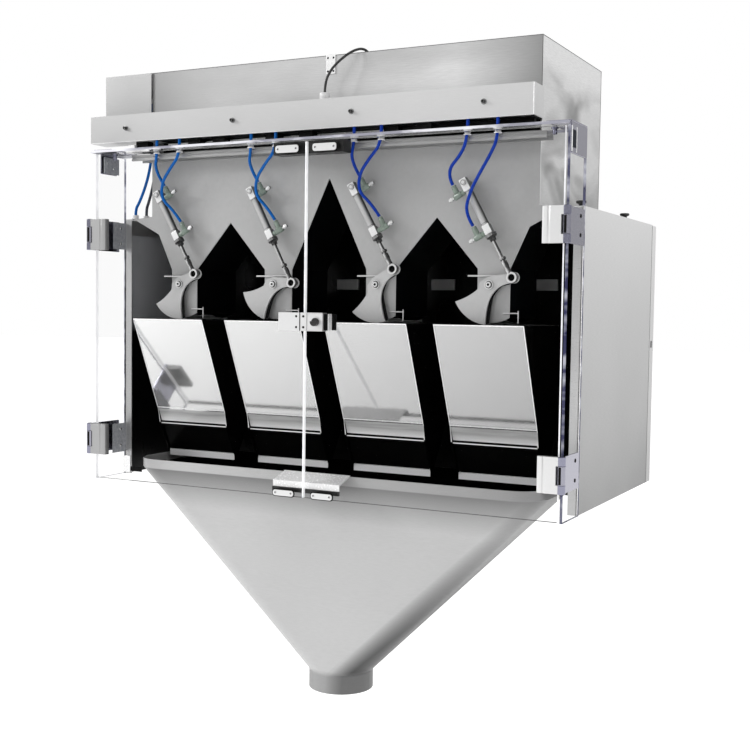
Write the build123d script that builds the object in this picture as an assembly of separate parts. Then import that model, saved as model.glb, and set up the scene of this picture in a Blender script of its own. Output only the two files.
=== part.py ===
from build123d import *
import math
import os

os.makedirs("parts", exist_ok=True)

# Four-head linear weigher in a clear safety enclosure.
# X runs along the four heads, -Y is the front, +Z is up.
# The origin is the centre of the bolt pattern in the underside of the cabinet floor.
# Lengths in millimetres, angles in degrees.

# ---- overall sizes ----
WIDTH = 1000.0                     # cabinet and enclosure, outside
CAB_H = 537.0                      # cabinet height
SIDE_D = 472.0                     # depth of a side cover
REAR_D = 31.0                      # depth of the rear cover
BOX_H = 298.0                      # feeder box above the cabinet
BOX_D = 350.0                      # feeder box depth
FUNNEL_H = 383.0                   # rim to collar
SHEET = 2.0                        # folded sheet
SKIN = 1.5                         # light covers
GLASS = 5.0                        # clear side and top sheets
DOOR_T = 8.0                       # clear doors
GAP = 0.5                          # general assembly clearance
FIT = 0.05                         # radial running fit
PLAY = 0.4                         # axial play beside a moving plate

# ---- layout ----
HEADS = 4
SIDE_MARGIN = 48.0                 # outside face to the first head's field
PITCH = (WIDTH - 2 * SIDE_MARGIN) / HEADS
CENTRES = [(i - (HEADS - 1) / 2) * PITCH for i in range(HEADS)]
HALF = WIDTH / 2
BASE_Y = 344.5                     # bolt pattern centre behind the cabinet front
BAY_D = 213.0                      # open bay in front of the partition
BOX_HALF = HALF - 78.0
BOX_Y0 = -8.0                      # front face of the feeder box and the chute plate
BOX_Z1 = CAB_H + BOX_H
PLATE_Z1 = CAB_H + 119.0           # joint between chute plate and feeder box
GLASS_Z1 = PLATE_Z1 + 8.0          # top of the side sheets
DOOR_Y0 = -97.0                    # outer face of the doors
DOOR_Z0 = 2.5
DOOR_Z1 = GLASS_Z1 - 2.0
DOOR_X0 = 0.8                      # half the gap between the doors
DOOR_X1 = HALF - 5.0

# ---- chutes and gates ----
NECK_HALF = 31.0                   # chute neck, outside half width
NECK_Z1 = CAB_H - 106.0            # neck meets the slopes
PIVOT_Z = NECK_Z1 - 29.0           # gate pivots
PIVOT_DX = -4.0                    # gate pivot from the neck centre
GATE_R = 71.5                      # outside radius of the gate shell
GATE_T = 2.0                       # shell
GATE_GAP = 1.5                     # shell to the neck's curved edge
NECK_R = GATE_R - GATE_T - GATE_GAP
PLATE_T = 3.0                      # gate cheek
GATE_Y0 = -20.0                    # front face of the front cheek
CHUTE_Y1 = 132.0                   # rear face of the chutes
REAR_CHEEK_Y1 = CHUTE_Y1 + 14.0
ARM = 48.0                         # pivot to rod eye
EYE_R = 10.0                       # arm end and rod eye
REST = [25.0, 3.0, 36.0, 15.0]     # arm angle above the horizontal, head by head
FAN_A0 = 190.0                     # gate shell from the arm, first edge
FAN_A1 = 250.0                     # gate shell from the arm, second edge
STUB_R = 5.0                       # gate pivot stub
STUB_HEAD_R = 8.2
SLOT_W = 11.0                       # adjusting slot in the arm
SLOT_L = 17.0
APEX_LOW = CAB_H - 12.0            # ridge between heads 1 and 2, and 3 and 4
APEX_HIGH = CAB_H + 68.0           # ridge in the middle
CHUTE_Z1 = CAB_H + 88.0            # top of the chutes

# ---- gate cylinders, 12 mm bore with a 6 mm rod ----
CYL_DX = -46.0                     # rear pivot from the gate pivot
CYL_DZ = 180.5
CYL_Y = -29.0                      # cylinder axis
CYL_R = 7.0
BORE_R = 6.0
ROD_R = 3.0
BLOCK = 14.0                       # square rear cap
CAP_S = (-8.0, 18.0)               # rear cap along the axis
TUBE_S = (18.0, 87.0)
FRONT_S = (85.0, 104.0)
NUT_S = (104.0, 111.0)
NOSE_S = (111.0, 118.0)
CAVITY_S = (21.0, 86.0)
PISTON_BACK = 130.0                # piston behind the eye
PISTON_L = 10.0
SHANK_L = 40.0                     # rod end, eye centre to thread
PORT_S = (14.0, 98.0)              # speed controllers along the axis
BRANCH_T = 22.0                    # hose branch from the axis
BRANCH_L = 20.0
KNOB_T = 42.0                      # adjusting knob end from the axis
FIT_SIDE = [1, 1, 1, -1]           # side of the speed controllers

# ---- weigh buckets ----
BUCKET_W = 172.0
BUCKET_DX = -12.0                  # bucket centre from the neck centre
BUCKET_TOP = (-50.0, PIVOT_Z - 72.0)  # front edge (y, z)
BUCKET_FOLD = (32.0, 141.0)
BUCKET_LOW = (44.0, 113.0)
BUCKET_BACK = 200.0
HINGE_YZ = (46.0, 108.0)           # discharge flap pin
FLAP_END = (74.0, 48.0)
FLAP_LIP = 12.0
PIN_R = 2.5
BARREL_R = 4.5

# ---- funnel ----
RIM_HALF = HALF - 55.0
RIM_Y = (-45.0, 175.0)
RIM_Z = (23.0, 41.0)
RIM_R = 60.0
OUTLET_R = 64.0
OUTLET_Y = 62.0
COLLAR_H = 37.0
FLAT = 0.5                         # half of the short straights where the funnel meets the collar

# ---- hoses and cable ----
HOSE_R = 3.0
CABLE_R = 2.4
DUCT_X = (-HALF - 42.0, BOX_HALF + 4.0)
DUCT_Y0 = -58.0
DUCT_Z = (GLASS_Z1 + 26.0, GLASS_Z1 + 81.0)
HOSE_Y = -53.0
HOSE_Z1 = DUCT_Z[0] - 0.3           # upper end, just under the duct
HOSE_DX = (14.0, 70.0)             # hose outlets from the cylinder pivot
FACE = 2.4                         # hose end to fitting, room for the small swing


def block(x0, x1, y0, y1, z0, z1):
    size = Box(x1 - x0, y1 - y0, z1 - z0)
    return Pos((x0 + x1) / 2, (y0 + y1) / 2, (z0 + z1) / 2) * size


def along_x(y, z, radius, x0, x1):
    return Pos((x0 + x1) / 2, y, z) * Rot(0, 90, 0) * Cylinder(radius, x1 - x0)


def along_y(x, z, radius, y0, y1):
    return Pos(x, (y0 + y1) / 2, z) * Rot(90, 0, 0) * Cylinder(radius, y1 - y0)


def along_z(x, y, radius, z0, z1):
    return Pos(x, y, (z0 + z1) / 2) * Cylinder(radius, z1 - z0)


def xz_plane(y):
    return Plane(origin=(0, y, 0), x_dir=(1, 0, 0), z_dir=(0, -1, 0))


def plate_xz(points, y0, y1):
    face = make_face(Polyline(*points, close=True))
    return extrude(xz_plane(y1) * face, amount=y1 - y0)


def plate_yz(points, x0, x1):
    face = make_face(Polyline(*points, close=True))
    side = Plane(origin=(x0, 0, 0), x_dir=(0, 1, 0), z_dir=(1, 0, 0))
    return extrude(side * face, amount=x1 - x0)


def strip_yz(line, thick, x0, x1):
    """Sheet of constant thickness that follows a line in Y-Z, thickened to its left."""
    other = []
    for i, (y, z) in enumerate(line):
        before = line[max(i - 1, 0)]
        after = line[min(i + 1, len(line) - 1)]
        dy, dz = after[0] - before[0], after[1] - before[1]
        size = math.hypot(dy, dz)
        other.append((y - dz / size * thick, z + dy / size * thick))
    return plate_yz(list(line) + other[::-1], x0, x1)


def inset(points, distance):
    """Closed outline moved inwards by a distance; the points run counterclockwise."""
    edges = []
    for (ax, az), (bx, bz) in zip(points, points[1:] + points[:1]):
        size = math.hypot(bx - ax, bz - az)
        nx, nz = -(bz - az) / size * distance, (bx - ax) / size * distance
        edges.append(((ax + nx, az + nz), (bx - ax, bz - az)))
    out = []
    for (p, d), (q, e) in zip(edges[-1:] + edges[:-1], edges):
        cross = d[0] * e[1] - d[1] * e[0]
        t = ((q[0] - p[0]) * e[1] - (q[1] - p[1]) * e[0]) / cross
        out.append((p[0] + t * d[0], p[1] + t * d[1]))
    return out


def mirror_x(shape):
    return mirror(shape, about=Plane.YZ)


def group(solids):
    return Compound([s for item in solids for s in item.solids()])


def save(shape, name):
    export_step(shape, f"parts/{name}.step")


def pivot(i):
    return CENTRES[i] + PIVOT_DX, PIVOT_Z


def rear_pivot(i):
    px, pz = pivot(i)
    return px + CYL_DX, pz + CYL_DZ


def eye(i):
    px, pz = pivot(i)
    a = math.radians(REST[i])
    return px + ARM * math.cos(a), pz + ARM * math.sin(a)


def cylinder_pose(i):
    """Length from rear pivot to eye, and lean of the axis from the vertical."""
    rx, rz = rear_pivot(i)
    ex, ez = eye(i)
    return math.hypot(ex - rx, ez - rz), math.degrees(math.atan2(ex - rx, rz - ez))


# ================= cabinet =================
wall_x = HALF - SKIN
half_shell = block(wall_x - SHEET, wall_x, 0, SIDE_D, 0, CAB_H)
half_shell += block(HALF - 18.0, wall_x, 0, SHEET, 0, CAB_H)
floor = block(-wall_x, wall_x, BAY_D + SHEET, SIDE_D, 0, 6.0)
deck = block(-wall_x, wall_x, 0, SIDE_D, CAB_H - SHEET, CAB_H)
deck -= block(-BOX_HALF + SHEET, BOX_HALF - SHEET, -1, BAY_D - 20.0, 0, CAB_H + 1)
cabinet = half_shell + mirror_x(half_shell) + floor + deck
BOLT_X, BOLT_Y, BOLT_R = 0.8 * HALF, 95.0, 6.75
for bx in (-BOLT_X, BOLT_X):
    for by in (BASE_Y - BOLT_Y, BASE_Y + BOLT_Y):
        cabinet -= along_z(bx, by, BOLT_R, -1, 8)
KNOB_X = HALF - 10.0
KNOB_Y = (14.0, 0.62 * SIDE_D)
KNOB_STEM_R = 3.0
for ky in KNOB_Y:
    cabinet -= along_z(KNOB_X, ky, KNOB_STEM_R + FIT, CAB_H - 3, CAB_H + 1)
# the wall's return flange under the deck leaves room for the knob stems
liner_x = wall_x - SHEET
liner = block(-liner_x, liner_x, BAY_D, BAY_D + SHEET, 0, CAB_H - SHEET)
liner_side = block(liner_x - SKIN, liner_x, SHEET, BAY_D, 0, CAB_H - SHEET - 30.0)
bay_liner = group([liner, liner_side, mirror_x(liner_side)])

side_cover = block(HALF - SKIN, HALF, 0, SIDE_D, 0, CAB_H + SKIN)
side_cover += block(HALF - 20.0, HALF, 0, SIDE_D, CAB_H, CAB_H + SKIN)
fixed_cover = mirror_x(side_cover)
for ky in KNOB_Y:
    side_cover -= along_z(KNOB_X, ky, KNOB_STEM_R + FIT, CAB_H - 3, CAB_H + 3)
rear_cover = block(-HALF, HALF, SIDE_D, SIDE_D + REAR_D, 0, CAB_H)
rear_cover -= block(-HALF + SKIN, HALF - SKIN, SIDE_D - 1, SIDE_D + REAR_D - SKIN, SKIN, CAB_H - SKIN)
NOTCH_Z = 0.54 * CAB_H
for sx in (-1, 1):
    rear_cover -= Pos(sx * HALF, SIDE_D + REAR_D / 2, NOTCH_Z) * Box(8.0, 12.0, 14.0)
knob_z = CAB_H + SKIN + PLAY
knobs = []
for ky in KNOB_Y:
    knob = along_z(KNOB_X, ky, 8.0, knob_z, knob_z + 9.0)
    knob += along_z(KNOB_X, ky, KNOB_STEM_R, CAB_H - SHEET, knob_z)
    knobs.append(knob)

# ================= feeder box, duct, rail =================
top_box = block(-BOX_HALF, BOX_HALF, BOX_Y0, BOX_Y0 + BOX_D, CAB_H, BOX_Z1)
top_box -= block(-BOX_HALF + SHEET, BOX_HALF - SHEET, BOX_Y0 + SHEET, BOX_Y0 + BOX_D - SHEET,
                 CAB_H - 1, BOX_Z1 + 1)
top_box -= block(-BOX_HALF - 1, BOX_HALF + 1, BOX_Y0 - 1, BOX_Y0 + SHEET, CAB_H - 1, PLATE_Z1)
SHELF_Z = CAB_H + 100.0
INNER_Z = BOX_Z1 - 35.0
top_box += block(-BOX_HALF + SHEET, BOX_HALF - SHEET, CHUTE_Y1 + 8.0, BOX_Y0 + BOX_D - SHEET,
                 SHELF_Z, SHELF_Z + 4.0)
top_box += block(-BOX_HALF + SHEET, BOX_HALF - SHEET, BOX_Y0 + SHEET, 34.0, INNER_Z - SHEET, INNER_Z)
top_box += block(-BOX_HALF + SHEET, BOX_HALF - SHEET, 32.0, 34.0, INNER_Z - 60.0, INNER_Z)

pans = []
for c in CENTRES:
    pan_half = PITCH / 2 - 14.0
    if abs(c) > PITCH:
        pan_half = BOX_HALF - abs(c) - 6.0
    y0, y1 = 38.0, BOX_Y0 + BOX_D - 20.0
    z0 = SHELF_Z + 44.0
    pan = block(c - pan_half, c + pan_half, y0, y1, z0, z0 + 46.0)
    pan -= block(c - pan_half + SHEET, c + pan_half - SHEET, y0 - 1, y1 - SHEET, z0 + SHEET, z0 + 47.0)
    drive = block(c - 36.0, c + 36.0, CHUTE_Y1 + 30.0, y1 - 30.0, SHELF_Z + 4.0, z0)
    pans += [pan, drive]
feeder_pans = group(pans)

left_box = block(DUCT_X[0] + 1.0, -BOX_HALF, BOX_Y0 - 4.0, 200.0, DUCT_Z[1], BOX_Z1)
left_box -= block(DUCT_X[0] + 1.0 + SKIN, -BOX_HALF + 1, BOX_Y0 - 4.0 + SKIN, 200.0 - SKIN,
                  DUCT_Z[1] - 1, BOX_Z1 - SKIN)
duct = block(DUCT_X[0], DUCT_X[1], DUCT_Y0, BOX_Y0, DUCT_Z[0], DUCT_Z[1])
duct -= block(DUCT_X[0] + SKIN, DUCT_X[1] - SKIN, DUCT_Y0 + SKIN, BOX_Y0 + 1, DUCT_Z[0] + SKIN,
              DUCT_Z[1] - SKIN)
DUCT_SCREWS = [0.5 * (DUCT_X[0] + DUCT_X[1]) + (k - 1.5) * 0.27 * (DUCT_X[1] - DUCT_X[0]) for k in range(4)]
SCREW_Z = (DUCT_Z[0] + DUCT_Z[1]) / 2
trim = [along_y(x, SCREW_Z, 4.5, DUCT_Y0 - 2.5, DUCT_Y0) for x in DUCT_SCREWS]
trim += [along_z(-KNOB_X, ky, 5.0, CAB_H + SKIN, CAB_H + SKIN + 2.5) for ky in KNOB_Y]
trim.append(block(-9.0, 11.0, BOX_Y0 - 2.0, BOX_Y0, BOX_Z1 - 35.0, BOX_Z1 + 2.0))
top_trim = group(trim)

RAIL_Y0 = -45.0
RAIL_Z0 = GLASS_Z1 - 12.0
rail = block(-RIM_HALF, RIM_HALF, RAIL_Y0, BOX_Y0, RAIL_Z0, GLASS_Z1)
rail -= block(-RIM_HALF - 1, RIM_HALF + 1, RAIL_Y0 - 1, RAIL_Y0 + 1.5, RAIL_Z0 + 4.5, RAIL_Z0 + 7.5)
rail -= block(-RIM_HALF - 1, RIM_HALF + 1, RAIL_Y0 + 4.0, BOX_Y0 - 3.0, RAIL_Z0 - 1, GLASS_Z1 - 3.0)

# ================= clear enclosure =================
top_glass = block(-HALF - 2.0, HALF + 2.0, DOOR_Y0 - 8.0, BOX_Y0, GLASS_Z1, GLASS_Z1 + GLASS)
side_x = HALF - 3.0
pane = block(side_x, side_x + GLASS, DOOR_Y0 + DOOR_T + GAP, 0, 0, GLASS_Z1)
side_glass = group([pane, mirror_x(pane)])
door = block(DOOR_X0, DOOR_X1, DOOR_Y0, DOOR_Y0 + DOOR_T, DOOR_Z0, DOOR_Z1)
BR_X = side_x + GLASS
bracket = block(BR_X, BR_X + 3.0, DOOR_Y0 + 4.0, -7.0, GLASS_Z1 - 47.0, GLASS_Z1 + GLASS)
bracket += block(BR_X - 45.0, BR_X + 3.0, DOOR_Y0 + 4.0, BOX_Y0, GLASS_Z1 + GLASS, GLASS_Z1 + GLASS + 3.0)
corner_brackets = group([bracket, mirror_x(bracket)])

# ---- door hinges: vertical barrel at the front corner ----
BARREL = (HALF + 4.0, DOOR_Y0 - 7.0)
BAR_R = 7.0
HINGE_PIN_R = 3.0
LEAF_H = 31.0                      # half height of a hinge
KNUCKLE = 15.6                     # half height of the middle knuckle
HINGE_Z = (83.5, DOOR_Z1 - 162.5)
wall_leaves = []
door_leaves = []
for hz in HINGE_Z:
    leaf = block(BR_X, BR_X + 4.0, DOOR_Y0 + 2.0, -16.0, hz - LEAF_H, hz + LEAF_H)
    leaf += block(BR_X, BR_X + 4.0, BARREL[1], DOOR_Y0 + 3.0, hz - KNUCKLE, hz + KNUCKLE)
    leaf += along_z(BARREL[0], BARREL[1], BAR_R, hz - KNUCKLE, hz + KNUCKLE)
    leaf += along_z(BARREL[0], BARREL[1], HINGE_PIN_R, hz - LEAF_H, hz + LEAF_H)
    wall_leaves.append(leaf)
    body = block(HALF - 39.0, HALF - 2.0, DOOR_Y0 - 12.0, DOOR_Y0, hz - LEAF_H, hz + LEAF_H)
    for z0, z1 in ((hz - LEAF_H, hz - KNUCKLE - PLAY), (hz + KNUCKLE + PLAY, hz + LEAF_H)):
        body += block(HALF - 3.0, BARREL[0], DOOR_Y0 - 12.0, DOOR_Y0 - 4.0, z0, z1)
        body += along_z(BARREL[0], BARREL[1], BAR_R, z0, z1)
    body -= along_z(BARREL[0], BARREL[1], HINGE_PIN_R + FIT, hz - LEAF_H - 1, hz + LEAF_H + 1)
    body -= along_z(BARREL[0], BARREL[1], BAR_R + GAP, hz - KNUCKLE - PLAY, hz + KNUCKLE + PLAY)
    door_leaves.append(body)
hinge_brackets = group(wall_leaves + [mirror_x(s) for s in wall_leaves])

LOCK_Z = DOOR_Z1 / 2
LOCK_H = 17.0
LOCK_T = 16.0
LOCK_KNOB_X = 34.0
lock_l = block(-46.5, -DOOR_X0, DOOR_Y0 - LOCK_T, DOOR_Y0, LOCK_Z - LOCK_H, LOCK_Z + LOCK_H)
lock_r = block(DOOR_X0, 49.0, DOOR_Y0 - LOCK_T, DOOR_Y0, LOCK_Z - LOCK_H, LOCK_Z + LOCK_H)
lock_r -= along_y(LOCK_KNOB_X, LOCK_Z, HINGE_PIN_R + FIT, DOOR_Y0 - LOCK_T - 1, DOOR_Y0 - LOCK_T + 8.0)
inner_body = block(DOOR_X0 + 6.0, 58.0, DOOR_Y0 + DOOR_T, DOOR_Y0 + DOOR_T + 12.0,
                   LOCK_Z - LOCK_H + 2.0, LOCK_Z + LOCK_H - 2.0)
strikes = [block(15.0, 65.0, DOOR_Y0 - 2.0, DOOR_Y0, DOOR_Z1 - 19.0, DOOR_Z1 - 5.0),
           block(19.0, 64.0, DOOR_Y0 - 2.0, DOOR_Y0, DOOR_Z0, DOOR_Z0 + 11.0)]
hardware_r = group(door_leaves + [lock_r, inner_body] + strikes)
hardware_l = group([mirror_x(s) for s in door_leaves + strikes] + [lock_l])
knob_y = DOOR_Y0 - LOCK_T - PLAY
lock_knob = along_y(LOCK_KNOB_X, LOCK_Z, 7.5, knob_y - 8.0, knob_y)
lock_knob -= block(LOCK_KNOB_X - 9, LOCK_KNOB_X + 9, knob_y - 9.0, knob_y - 3.0, LOCK_Z + 1.5, LOCK_Z + 9)
lock_knob += along_y(LOCK_KNOB_X, LOCK_Z, HINGE_PIN_R, knob_y, DOOR_Y0 - LOCK_T + 7.5)

CATCH_Y = (DOOR_Y0 + DOOR_T + GAP, HOSE_Y - 8.0)
top_catch = block(-75.0, 75.0, CATCH_Y[0], CATCH_Y[1], GLASS_Z1 - 23.0, GLASS_Z1)
sill = plate_yz([(CATCH_Y[0] + 3.0, RIM_Z[0] - 5.0), (CATCH_Y[0] + 3.0, 30.0), (RIM_Y[0] + 2.0, 43.0),
                 (RIM_Y[0] + 2.0, RIM_Z[1]), (RIM_Y[0], RIM_Z[1]), (RIM_Y[0], 40.0),
                 (CATCH_Y[0] + 5.0, 27.5), (CATCH_Y[0] + 5.0, RIM_Z[0] - 5.0)], -72.0, 72.0)
low_catch = block(-72.0, 72.0, CATCH_Y[0], CATCH_Y[0] + 5.0, 10.0, RIM_Z[0] - 5.0)
door_catches = group([top_catch, low_catch])

# ================= chute plate and chutes =================
slope_l = CENTRES[0] - NECK_HALF
ridges = [((CENTRES[0] + CENTRES[1]) / 2, APEX_LOW), (0.0, APEX_HIGH),
          ((CENTRES[2] + CENTRES[3]) / 2, APEX_LOW)]


def lower_edge():
    """Lower edge of the chutes from left to right, with square necks."""
    pts = [(CENTRES[0] - 65.0, APEX_LOW - 21.0)]
    for i, c in enumerate(CENTRES):
        pts += [(c - NECK_HALF, NECK_Z1), (c - NECK_HALF, PIVOT_Z - GATE_R)]
        pts += [(c + NECK_HALF, PIVOT_Z - GATE_R), (c + NECK_HALF, NECK_Z1)]
        if i < HEADS - 1:
            pts.append(ridges[i])
    pts.append((CENTRES[-1] + 65.0, APEX_LOW - 21.0))
    return pts


def round_necks(shape, y0, y1):
    for i, c in enumerate(CENTRES):
        px, pz = pivot(i)
        corner = block(c - NECK_HALF - 1, c + NECK_HALF + 1, y0 - 1, y1 + 1, PIVOT_Z - GATE_R - 1, PIVOT_Z - 20)
        shape -= corner - along_y(px, pz, NECK_R, y0 - 2, y1 + 2)
    return shape


WING_X = BOX_HALF + 47.0
plate_pts = [(-BOX_HALF, PLATE_Z1), (-BOX_HALF, CAB_H + 4.0), (-WING_X, CAB_H)] + lower_edge()
plate_pts += [(WING_X, CAB_H), (BOX_HALF, CAB_H + 4.0), (BOX_HALF, PLATE_Z1)]
chute_plate = round_necks(plate_xz(plate_pts, BOX_Y0, BOX_Y0 + SHEET), BOX_Y0, BOX_Y0 + SHEET)

chute_y0 = BOX_Y0 + SHEET
inner_half = BOX_HALF - SHEET - GAP
hull_pts = [(-inner_half, CHUTE_Z1), (-inner_half, APEX_LOW)] + lower_edge()
hull_pts += [(inner_half, APEX_LOW), (inner_half, CHUTE_Z1)]
chutes = plate_xz(hull_pts, chute_y0, CHUTE_Y1)
chutes -= plate_xz(inset(hull_pts, SHEET), chute_y0 - 1, CHUTE_Y1 - SHEET)
for c in CENTRES:
    chutes -= block(c - NECK_HALF + SHEET, c + NECK_HALF - SHEET, chute_y0 - 1, CHUTE_Y1 - SHEET,
                    PIVOT_Z - GATE_R - 1, NECK_Z1)
chutes -= block(-inner_half + SHEET, inner_half - SHEET, chute_y0 - 1, CHUTE_Y1 - SHEET,
                CHUTE_Z1 - 2 * SHEET, CHUTE_Z1 + 1)
chutes = round_necks(chutes, chute_y0, CHUTE_Y1)

# ================= gates, cylinders, rods =================


def gate_outline(with_arm):
    a0, a1 = math.radians(FAN_A0), math.radians(FAN_A1)
    am = (a0 + a1) / 2
    tip = (GATE_R * math.cos(a0), GATE_R * math.sin(a0))
    low = (GATE_R * math.cos(a1), GATE_R * math.sin(a1))
    mid = (GATE_R * math.cos(am), GATE_R * math.sin(am))
    back = [(-22.5, -2.0), (-16.0, 9.0), (0.0, 14.0)]
    if with_arm:
        head = [(ARM - 3.0, EYE_R - 0.6), (ARM - 3.0, -EYE_R + 0.6)]
        blade = Spline(head[1], (19.0, -8.5), (2.4, -17.3), (-8.7, -29.5), low)
    else:
        head = [(13.0, 4.0), (13.0, -8.0)]
        blade = Spline(head[1], (2.4, -17.3), (-8.7, -29.5), low)
    rim = ThreePointArc(low, mid, tip)
    top = ThreePointArc(tip, (-45.0, -9.5), back[0])
    face = make_face([Polyline(*back, *head), blade, rim, top])
    if with_arm:
        face += Pos(ARM, 0) * Circle(EYE_R)
    return face


def make_gate(i):
    px, pz = pivot(i)
    front = gate_outline(True)
    front -= Circle(STUB_R + FIT)
    front -= Pos(ARM, 0) * SlotOverall(SLOT_L, SLOT_W)
    rear = gate_outline(False)
    rear -= Circle(STUB_R + FIT)
    a0, a1 = math.radians(FAN_A0), math.radians(FAN_A1)
    outer = GATE_R
    inner = GATE_R - GATE_T
    am = (a0 + a1) / 2
    ring = make_face([
        ThreePointArc(*[(outer * math.cos(a), outer * math.sin(a)) for a in (a0, am, a1)]),
        Line((outer * math.cos(a1), outer * math.sin(a1)), (inner * math.cos(a1), inner * math.sin(a1))),
        ThreePointArc(*[(inner * math.cos(a), inner * math.sin(a)) for a in (a1, am, a0)]),
        Line((inner * math.cos(a0), inner * math.sin(a0)), (outer * math.cos(a0), outer * math.sin(a0)))])
    turned = Rot(0, 0, REST[i])
    gate = extrude(xz_plane(GATE_Y0 + PLATE_T) * turned * front, amount=PLATE_T)
    gate += extrude(xz_plane(REAR_CHEEK_Y1) * turned * rear, amount=PLATE_T)
    gate += extrude(xz_plane(REAR_CHEEK_Y1 - PLATE_T / 2) * turned * ring,
                    amount=REAR_CHEEK_Y1 - GATE_Y0 - PLATE_T)
    return Pos(px, 0, pz) * gate


def place_on_axis(shape, i):
    """Puts a shape built along -Z from the rear pivot onto the cylinder's axis."""
    rx, rz = rear_pivot(i)
    return Pos(rx, CYL_Y, rz) * Rot(0, -cylinder_pose(i)[1], 0) * shape


def make_cylinder(i):
    half = BLOCK / 2
    side = FIT_SIDE[i]
    body = block(-half, half, -half, half, -CAP_S[1], -CAP_S[0])
    body += along_z(0, 0, CYL_R, -TUBE_S[1], -TUBE_S[0])
    body += block(-half, half, -half, half, -FRONT_S[1], -FRONT_S[0])
    nut = extrude(Plane.XY.offset(-NUT_S[1]) * RegularPolygon(11.0, 6), amount=NUT_S[1] - NUT_S[0])
    body += nut
    body += along_z(0, 0, 6.0, -NOSE_S[1], -NOSE_S[0])
    for s in PORT_S:
        x0, x1 = sorted((side * (half - 1.0), side * (KNOB_T - 9.0)))
        body += along_x(0, -s, 5.0, x0, x1)
        x0, x1 = sorted((side * (KNOB_T - 9.5), side * KNOB_T))
        body += along_x(0, -s, 3.8, x0, x1)
        body += along_z(side * BRANCH_T, 0, 5.2, -s, -s + BRANCH_L)
    body -= along_z(0, 0, BORE_R, -CAVITY_S[1], -CAVITY_S[0])
    body -= along_z(0, 0, ROD_R + FIT, -NOSE_S[1] - 1, -CAVITY_S[1] + 1)
    body -= along_y(0, 0, ROD_R + FIT, -half - 1, half + 1)
    return place_on_axis(body, i)


def make_rod(i):
    length = cylinder_pose(i)[0]
    bolt_head_y = 2.0
    rod = along_z(0, 0, BORE_R - FIT, -(length - PISTON_BACK) - PISTON_L, -(length - PISTON_BACK))
    rod += along_z(0, 0, ROD_R, -(length - 20.0), -(length - PISTON_BACK) - 1)
    rod += along_z(0, 0, 5.0, -(length - 8.0), -(length - SHANK_L + 8.0))
    rod += along_z(0, 0, 6.3, -(length - SHANK_L + 9.0), -(length - SHANK_L))
    rod += along_y(0, -length, EYE_R, -4.5, 4.5)
    rod -= along_y(0, -length, 6.2, -5.5, bolt_head_y)
    back = GATE_Y0 + PLATE_T + PLAY - CYL_Y
    rod += along_y(0, -length, ROD_R, 3.5, back + 4.5)
    rod += along_y(0, -length, 6.0, 4.5, GATE_Y0 - PLAY - CYL_Y)
    rod += along_y(0, -length, 5.6, back, back + 4.0)
    return place_on_axis(rod, i)


pins = []
for i, c in enumerate(CENTRES):
    px, pz = pivot(i)
    rx, rz = rear_pivot(i)
    front = along_y(px, pz, STUB_R, GATE_Y0 - PLAY - 1, BOX_Y0)
    front += along_y(px, pz, STUB_HEAD_R, GATE_Y0 + PLATE_T + PLAY, BOX_Y0)
    front += along_y(px, pz, STUB_HEAD_R, GATE_Y0 - PLAY - 1.6, GATE_Y0 - PLAY)
    front += along_y(px, pz, 5.0, GATE_Y0 - PLAY - 4.6, GATE_Y0 - PLAY - 1.6)
    rear = along_y(px, pz, STUB_R, CHUTE_Y1, REAR_CHEEK_Y1 + PLAY + 1)
    rear += along_y(px, pz, STUB_HEAD_R, CHUTE_Y1, REAR_CHEEK_Y1 - PLATE_T - PLAY)
    rear += along_y(px, pz, STUB_HEAD_R, REAR_CHEEK_Y1 + PLAY, REAR_CHEEK_Y1 + PLAY + 2.0)
    hang = along_y(rx, rz, ROD_R, CYL_Y - BLOCK / 2 - PLAY - 1, BOX_Y0)
    hang += along_y(rx, rz, 6.0, CYL_Y + BLOCK / 2 + PLAY, BOX_Y0)
    hang += along_y(rx, rz, 5.5, CYL_Y - BLOCK / 2 - PLAY - 3.0, CYL_Y - BLOCK / 2 - PLAY)
    stop = along_x(BOX_Y0 - 1.6, NECK_Z1 - 13.0, 1.6, c - NECK_HALF - 18.0, c + NECK_HALF - 2.0)
    hook = along_x(BOX_Y0 - 1.2, PIVOT_Z - 50.5, 1.2, c + NECK_HALF - 12.0, c + NECK_HALF + 17.0)
    hook += along_z(c + NECK_HALF + 17.0, BOX_Y0 - 1.2, 1.2, PIVOT_Z - 68.0, PIVOT_Z - 46.0)
    pins += [front, rear, hang, stop, hook]
head_pins = group(pins)

# ================= weigh buckets and flaps =================


def make_bucket(c):
    x0, x1 = c + BUCKET_DX - BUCKET_W / 2, c + BUCKET_DX + BUCKET_W / 2
    rear_line = [(BUCKET_BACK, BUCKET_TOP[1]), (BUCKET_BACK, BUCKET_TOP[1] - 100.0),
                 (FLAP_END[0] + 5.0, FLAP_END[1] - 4.0)]
    side = [BUCKET_TOP, BUCKET_FOLD, (HINGE_YZ[0] - 6.0, HINGE_YZ[1] - 3.0),
            (FLAP_END[0] - 3.0, FLAP_END[1] - 3.0)] + rear_line[::-1]
    shell = plate_yz(side, x0, x0 + SHEET) + plate_yz(side, x1 - SHEET, x1)
    shell += strip_yz([BUCKET_TOP, BUCKET_FOLD, BUCKET_LOW], SHEET, x0, x1)
    shell += strip_yz(rear_line[::-1], SHEET, x0, x1)
    shell += along_x(*HINGE_YZ, PIN_R, x0, x1)
    shell += block(c + BUCKET_DX - 30.0, c + BUCKET_DX + 30.0, BUCKET_BACK - 1, BAY_D,
                   BUCKET_TOP[1] - 68.0, BUCKET_TOP[1] - 18.0)
    return shell


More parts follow.
